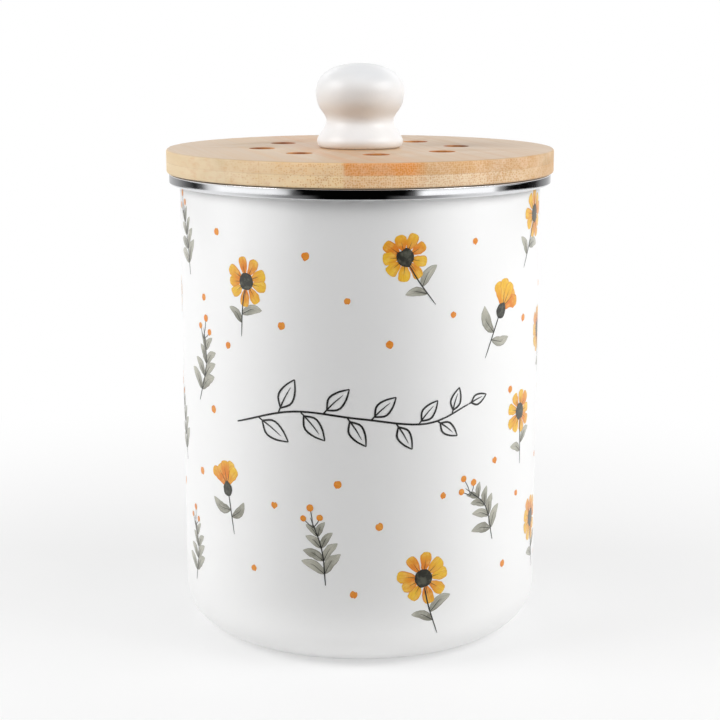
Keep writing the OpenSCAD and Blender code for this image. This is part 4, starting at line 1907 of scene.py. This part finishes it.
@dataclass(frozen=True)
class Softbox:
    """One soft lamp that looks at the caddy's middle.

    The azimuth is in degrees from the front towards +X, the height in degrees above the horizon.
    """

    name: str
    azimuth: float
    height: float
    watts: float
    wide: float = 0.5
    tall: float = 0.5
    away: float = 0.9


@dataclass
class Studio:
    """A white studio, seen as the photograph sees the caddy."""

    camera_place: tuple[float, float, float] = (0.0, -0.7398, 0.2607)
    camera_dip: float = 0.195
    lens: float = 86.05
    sensor: float = 36.0
    floor_size: float = 12.0
    floor_tone: Colour = (240, 240, 240)
    floor_rough: float = 0.9
    floor_glow: float = 0.55
    fade_start: float = 0.08
    fade_end: float = 0.45
    ambient: float = 0.02
    aim_z: float = 0.13
    card_r: float = 0.62
    card_hole_r: float = 0.13
    card_low: float = 0.118
    card_high: float = 0.172
    card_top: float = 0.5
    card_glow: float = 1.32
    sweep_low: float = 0.0005
    card_sides: int = 128
    lamps: tuple[Softbox, ...] = (
        Softbox("lamp_left", -72.0, 30.0, 5.3),
        Softbox("lamp_left_back", -100.0, 8.0, 0.8),
        Softbox("lamp_front_high", 0.0, 60.0, 0.6),
        Softbox("lamp_right_front", 48.0, 30.0, 2.0),
        Softbox("lamp_right", 72.0, 30.0, 4.2),
        Softbox("lamp_right_back", 120.0, 8.0, 0.8),
        Softbox("lamp_back_left", -150.0, 25.0, 1.3),
        Softbox("lamp_back_right", 150.0, 25.0, 1.3),
    )

    def build(self) -> None:
        """Sets up the camera, the light and the stage."""
        self.add_camera()
        self.set_world()
        self.add_floor()
        self.add_mirrored_cards()
        for lamp in self.lamps:
            self.add_lamp(lamp)
        bpy.context.scene.view_settings.view_transform = "Standard"

    def add_camera(self) -> None:
        """Places the camera at the photograph's viewing angle."""
        data = bpy.data.cameras.new("camera")
        data.lens = self.lens
        data.sensor_width = self.sensor
        data.sensor_fit = "HORIZONTAL"
        camera = bpy.data.objects.new("camera", data)
        bpy.context.scene.collection.objects.link(camera)
        camera.location = self.camera_place
        camera.rotation_euler = (math.pi / 2 - self.camera_dip, 0.0, 0.0)
        bpy.context.scene.camera = camera

    def set_world(self) -> None:
        """Lights the room softly and shows it white."""
        world = bpy.data.worlds.new("studio_room")
        bpy.context.scene.world = world
        world.use_nodes = True
        graph = Graph(world.node_tree)
        background = world.node_tree.nodes["Background"]
        seen = self.seen_directly(graph)
        background.inputs["Color"].default_value = (1.0, 1.0, 1.0, 1.0)
        graph.feed(background.inputs["Strength"], graph.remap(seen, 0.0, 1.0, self.ambient, 1.0, soft=False))

    @staticmethod
    def seen_directly(graph: Graph) -> Socket:
        """Wires 1 for what the camera, a mirror or a clear thing shows, and 0 for plain light."""
        path = graph.node("LightPath").outputs
        seen = graph.math("MAXIMUM", path["Is Camera Ray"], path["Is Glossy Ray"])
        return graph.math("MAXIMUM", seen, path["Is Transmission Ray"])

    def add_floor(self) -> None:
        """Lays a pale floor that keeps the shadow and fades into the white room."""
        deselect_all()
        bpy.ops.mesh.primitive_plane_add(size=self.floor_size)
        floor = bpy.context.object
        floor.name = "floor"
        made = bpy.data.materials.new("pale_floor")
        made.use_nodes = True
        graph = Graph(made.node_tree)
        shader = made.node_tree.nodes["Principled BSDF"]
        shader.inputs["Base Color"].default_value = linear(self.floor_tone)
        shader.inputs["Roughness"].default_value = self.floor_rough
        shader.inputs["Specular IOR Level"].default_value = 0.0
        glow = graph.node("Emission", {"Color": (1.0, 1.0, 1.0, 1.0), "Strength": 1.0}).outputs[0]
        place = graph.node("TexCoord").outputs["Object"]
        fade = graph.remap(graph.length(place), self.fade_start, self.fade_end, self.floor_glow, 1.0)
        share = graph.math("MULTIPLY", self.seen_directly(graph), fade)
        both = graph.node("MixShader", {0: share, 1: shader.outputs[0], 2: glow}).outputs[0]
        graph.feed(made.node_tree.nodes["Material Output"].inputs["Surface"], both)
        floor.data.materials.append(made)

    def add_mirrored_cards(self) -> None:
        """Puts up what only glossy things show: cards round the rim's height and dark ones in front."""
        black, dark, pale, white = 3, 90, 205, 250
        cards = ((-180, pale), (-155, 178), (-131, 138), (-119, dark), (-108, 26), (-101, dark), (-94, pale),
                 (-83, white), (-48, 236), (-41, pale), (-37, dark), (-31, black), (25, black), (30, dark),
                 (35, white), (79, white), (84, 152), (91, 40), (96, black), (112, 5), (121, 40), (131, 120),
                 (143, 152), (160, pale))
        above = ((-180, white), (-46, white), (-34, black), (28, black), (38, white))
        sweep = ((-180, white), (-84, white), (-60, 215), (-40, 140), (-22, black), (14, black), (40, 150),
                 (60, 225), (84, white))
        self.add_mirrored("rim_cards", cards, self.card_low, self.card_high, self.card_glow)
        self.add_mirrored("front_card", above, self.card_high, self.card_top)
        self.add_mirrored("front_sweep", sweep, self.sweep_low, self.card_low, bottom=True)

    def add_mirrored(self, name: str, zones: Sequence[tuple[float, int]], low: float, high: float,
                     strength: float = 1.0, bottom: bool = False) -> None:
        """Puts up a round wall that only glossy rays see, with grey tones by the way they face.

        Args:
            name: The wall's name.
            zones: Degrees from the front towards +X, from -180, and the tone there, from 0 to 255.
            low: The wall's lower edge.
            high: Its upper edge.
            strength: How bright white is.
            bottom: Whether the wall has a floor of the same tones, open where the caddy stands.
        """
        wall = add_cylinder(name, self.card_r, low, high, self.card_sides)
        with editing(wall):
            pick(wall, Part.FACE, lambda middle, normal: normal.z > NEAR_ONE or
                 (normal.z < -NEAR_ONE and not bottom))
            bpy.ops.mesh.delete(type="ONLY_FACE")
            if bottom:
                pick(wall, Part.FACE, lambda middle, normal: normal.z < -NEAR_ONE)
                bpy.ops.mesh.inset(thickness=self.card_r - self.card_hole_r)
                bpy.ops.mesh.delete(type="FACE")
        made = bpy.data.materials.new(name)
        made.use_nodes = True
        graph = Graph(made.node_tree)
        x, y, _ = graph.parts(graph.node("TexCoord").outputs["Object"])
        angle = graph.math("ARCTAN2", x, graph.math("MULTIPLY", y, -1.0))
        share = graph.math("MULTIPLY_ADD", angle, 1 / math.tau, 0.5)
        colour = graph.ramp(share, [((turned + 180) / 360, (tone,) * 3) for turned, tone in zones])
        glow = graph.node("Emission", {"Color": colour, "Strength": strength}).outputs[0]
        graph.feed(made.node_tree.nodes["Material Output"].inputs["Surface"], glow)
        wall.data.materials.append(made)
        for ray in ("camera", "diffuse", "shadow", "transmission"):
            setattr(wall, "visible_" + ray, False)

    def add_lamp(self, box: Softbox) -> None:
        """Hangs one softbox."""
        data = bpy.data.lights.new(box.name, "AREA")
        data.shape = "RECTANGLE"
        data.size, data.size_y = box.wide, box.tall
        data.energy = box.watts
        lamp = bpy.data.objects.new(box.name, data)
        bpy.context.scene.collection.objects.link(lamp)
        turned, raised = math.radians(box.azimuth), math.radians(box.height)
        flat = math.cos(raised)
        way = Vector((math.sin(turned) * flat, -math.cos(turned) * flat, math.sin(raised)))
        lamp.location = Vector((0.0, 0.0, self.aim_z)) + way * box.away
        lamp.rotation_mode = "QUATERNION"
        lamp.rotation_quaternion = way.to_track_quat("Z", "Y")


def main() -> None:
    """Builds the studio and every sub-assembly in order, and reports each piece."""
    logging.basicConfig(level=logging.INFO, format="%(name)s: %(message)s")
    Studio().build()
    for assembly in (EnamelShell(), WildflowerPrint(), RimBand(), LidBoard(), Knob(), Plug(), Filter()):
        assembly.build()
        LOG.info("%s is in place", type(assembly).__name__)
    deselect_all()


if __name__ == "__main__":
    main()
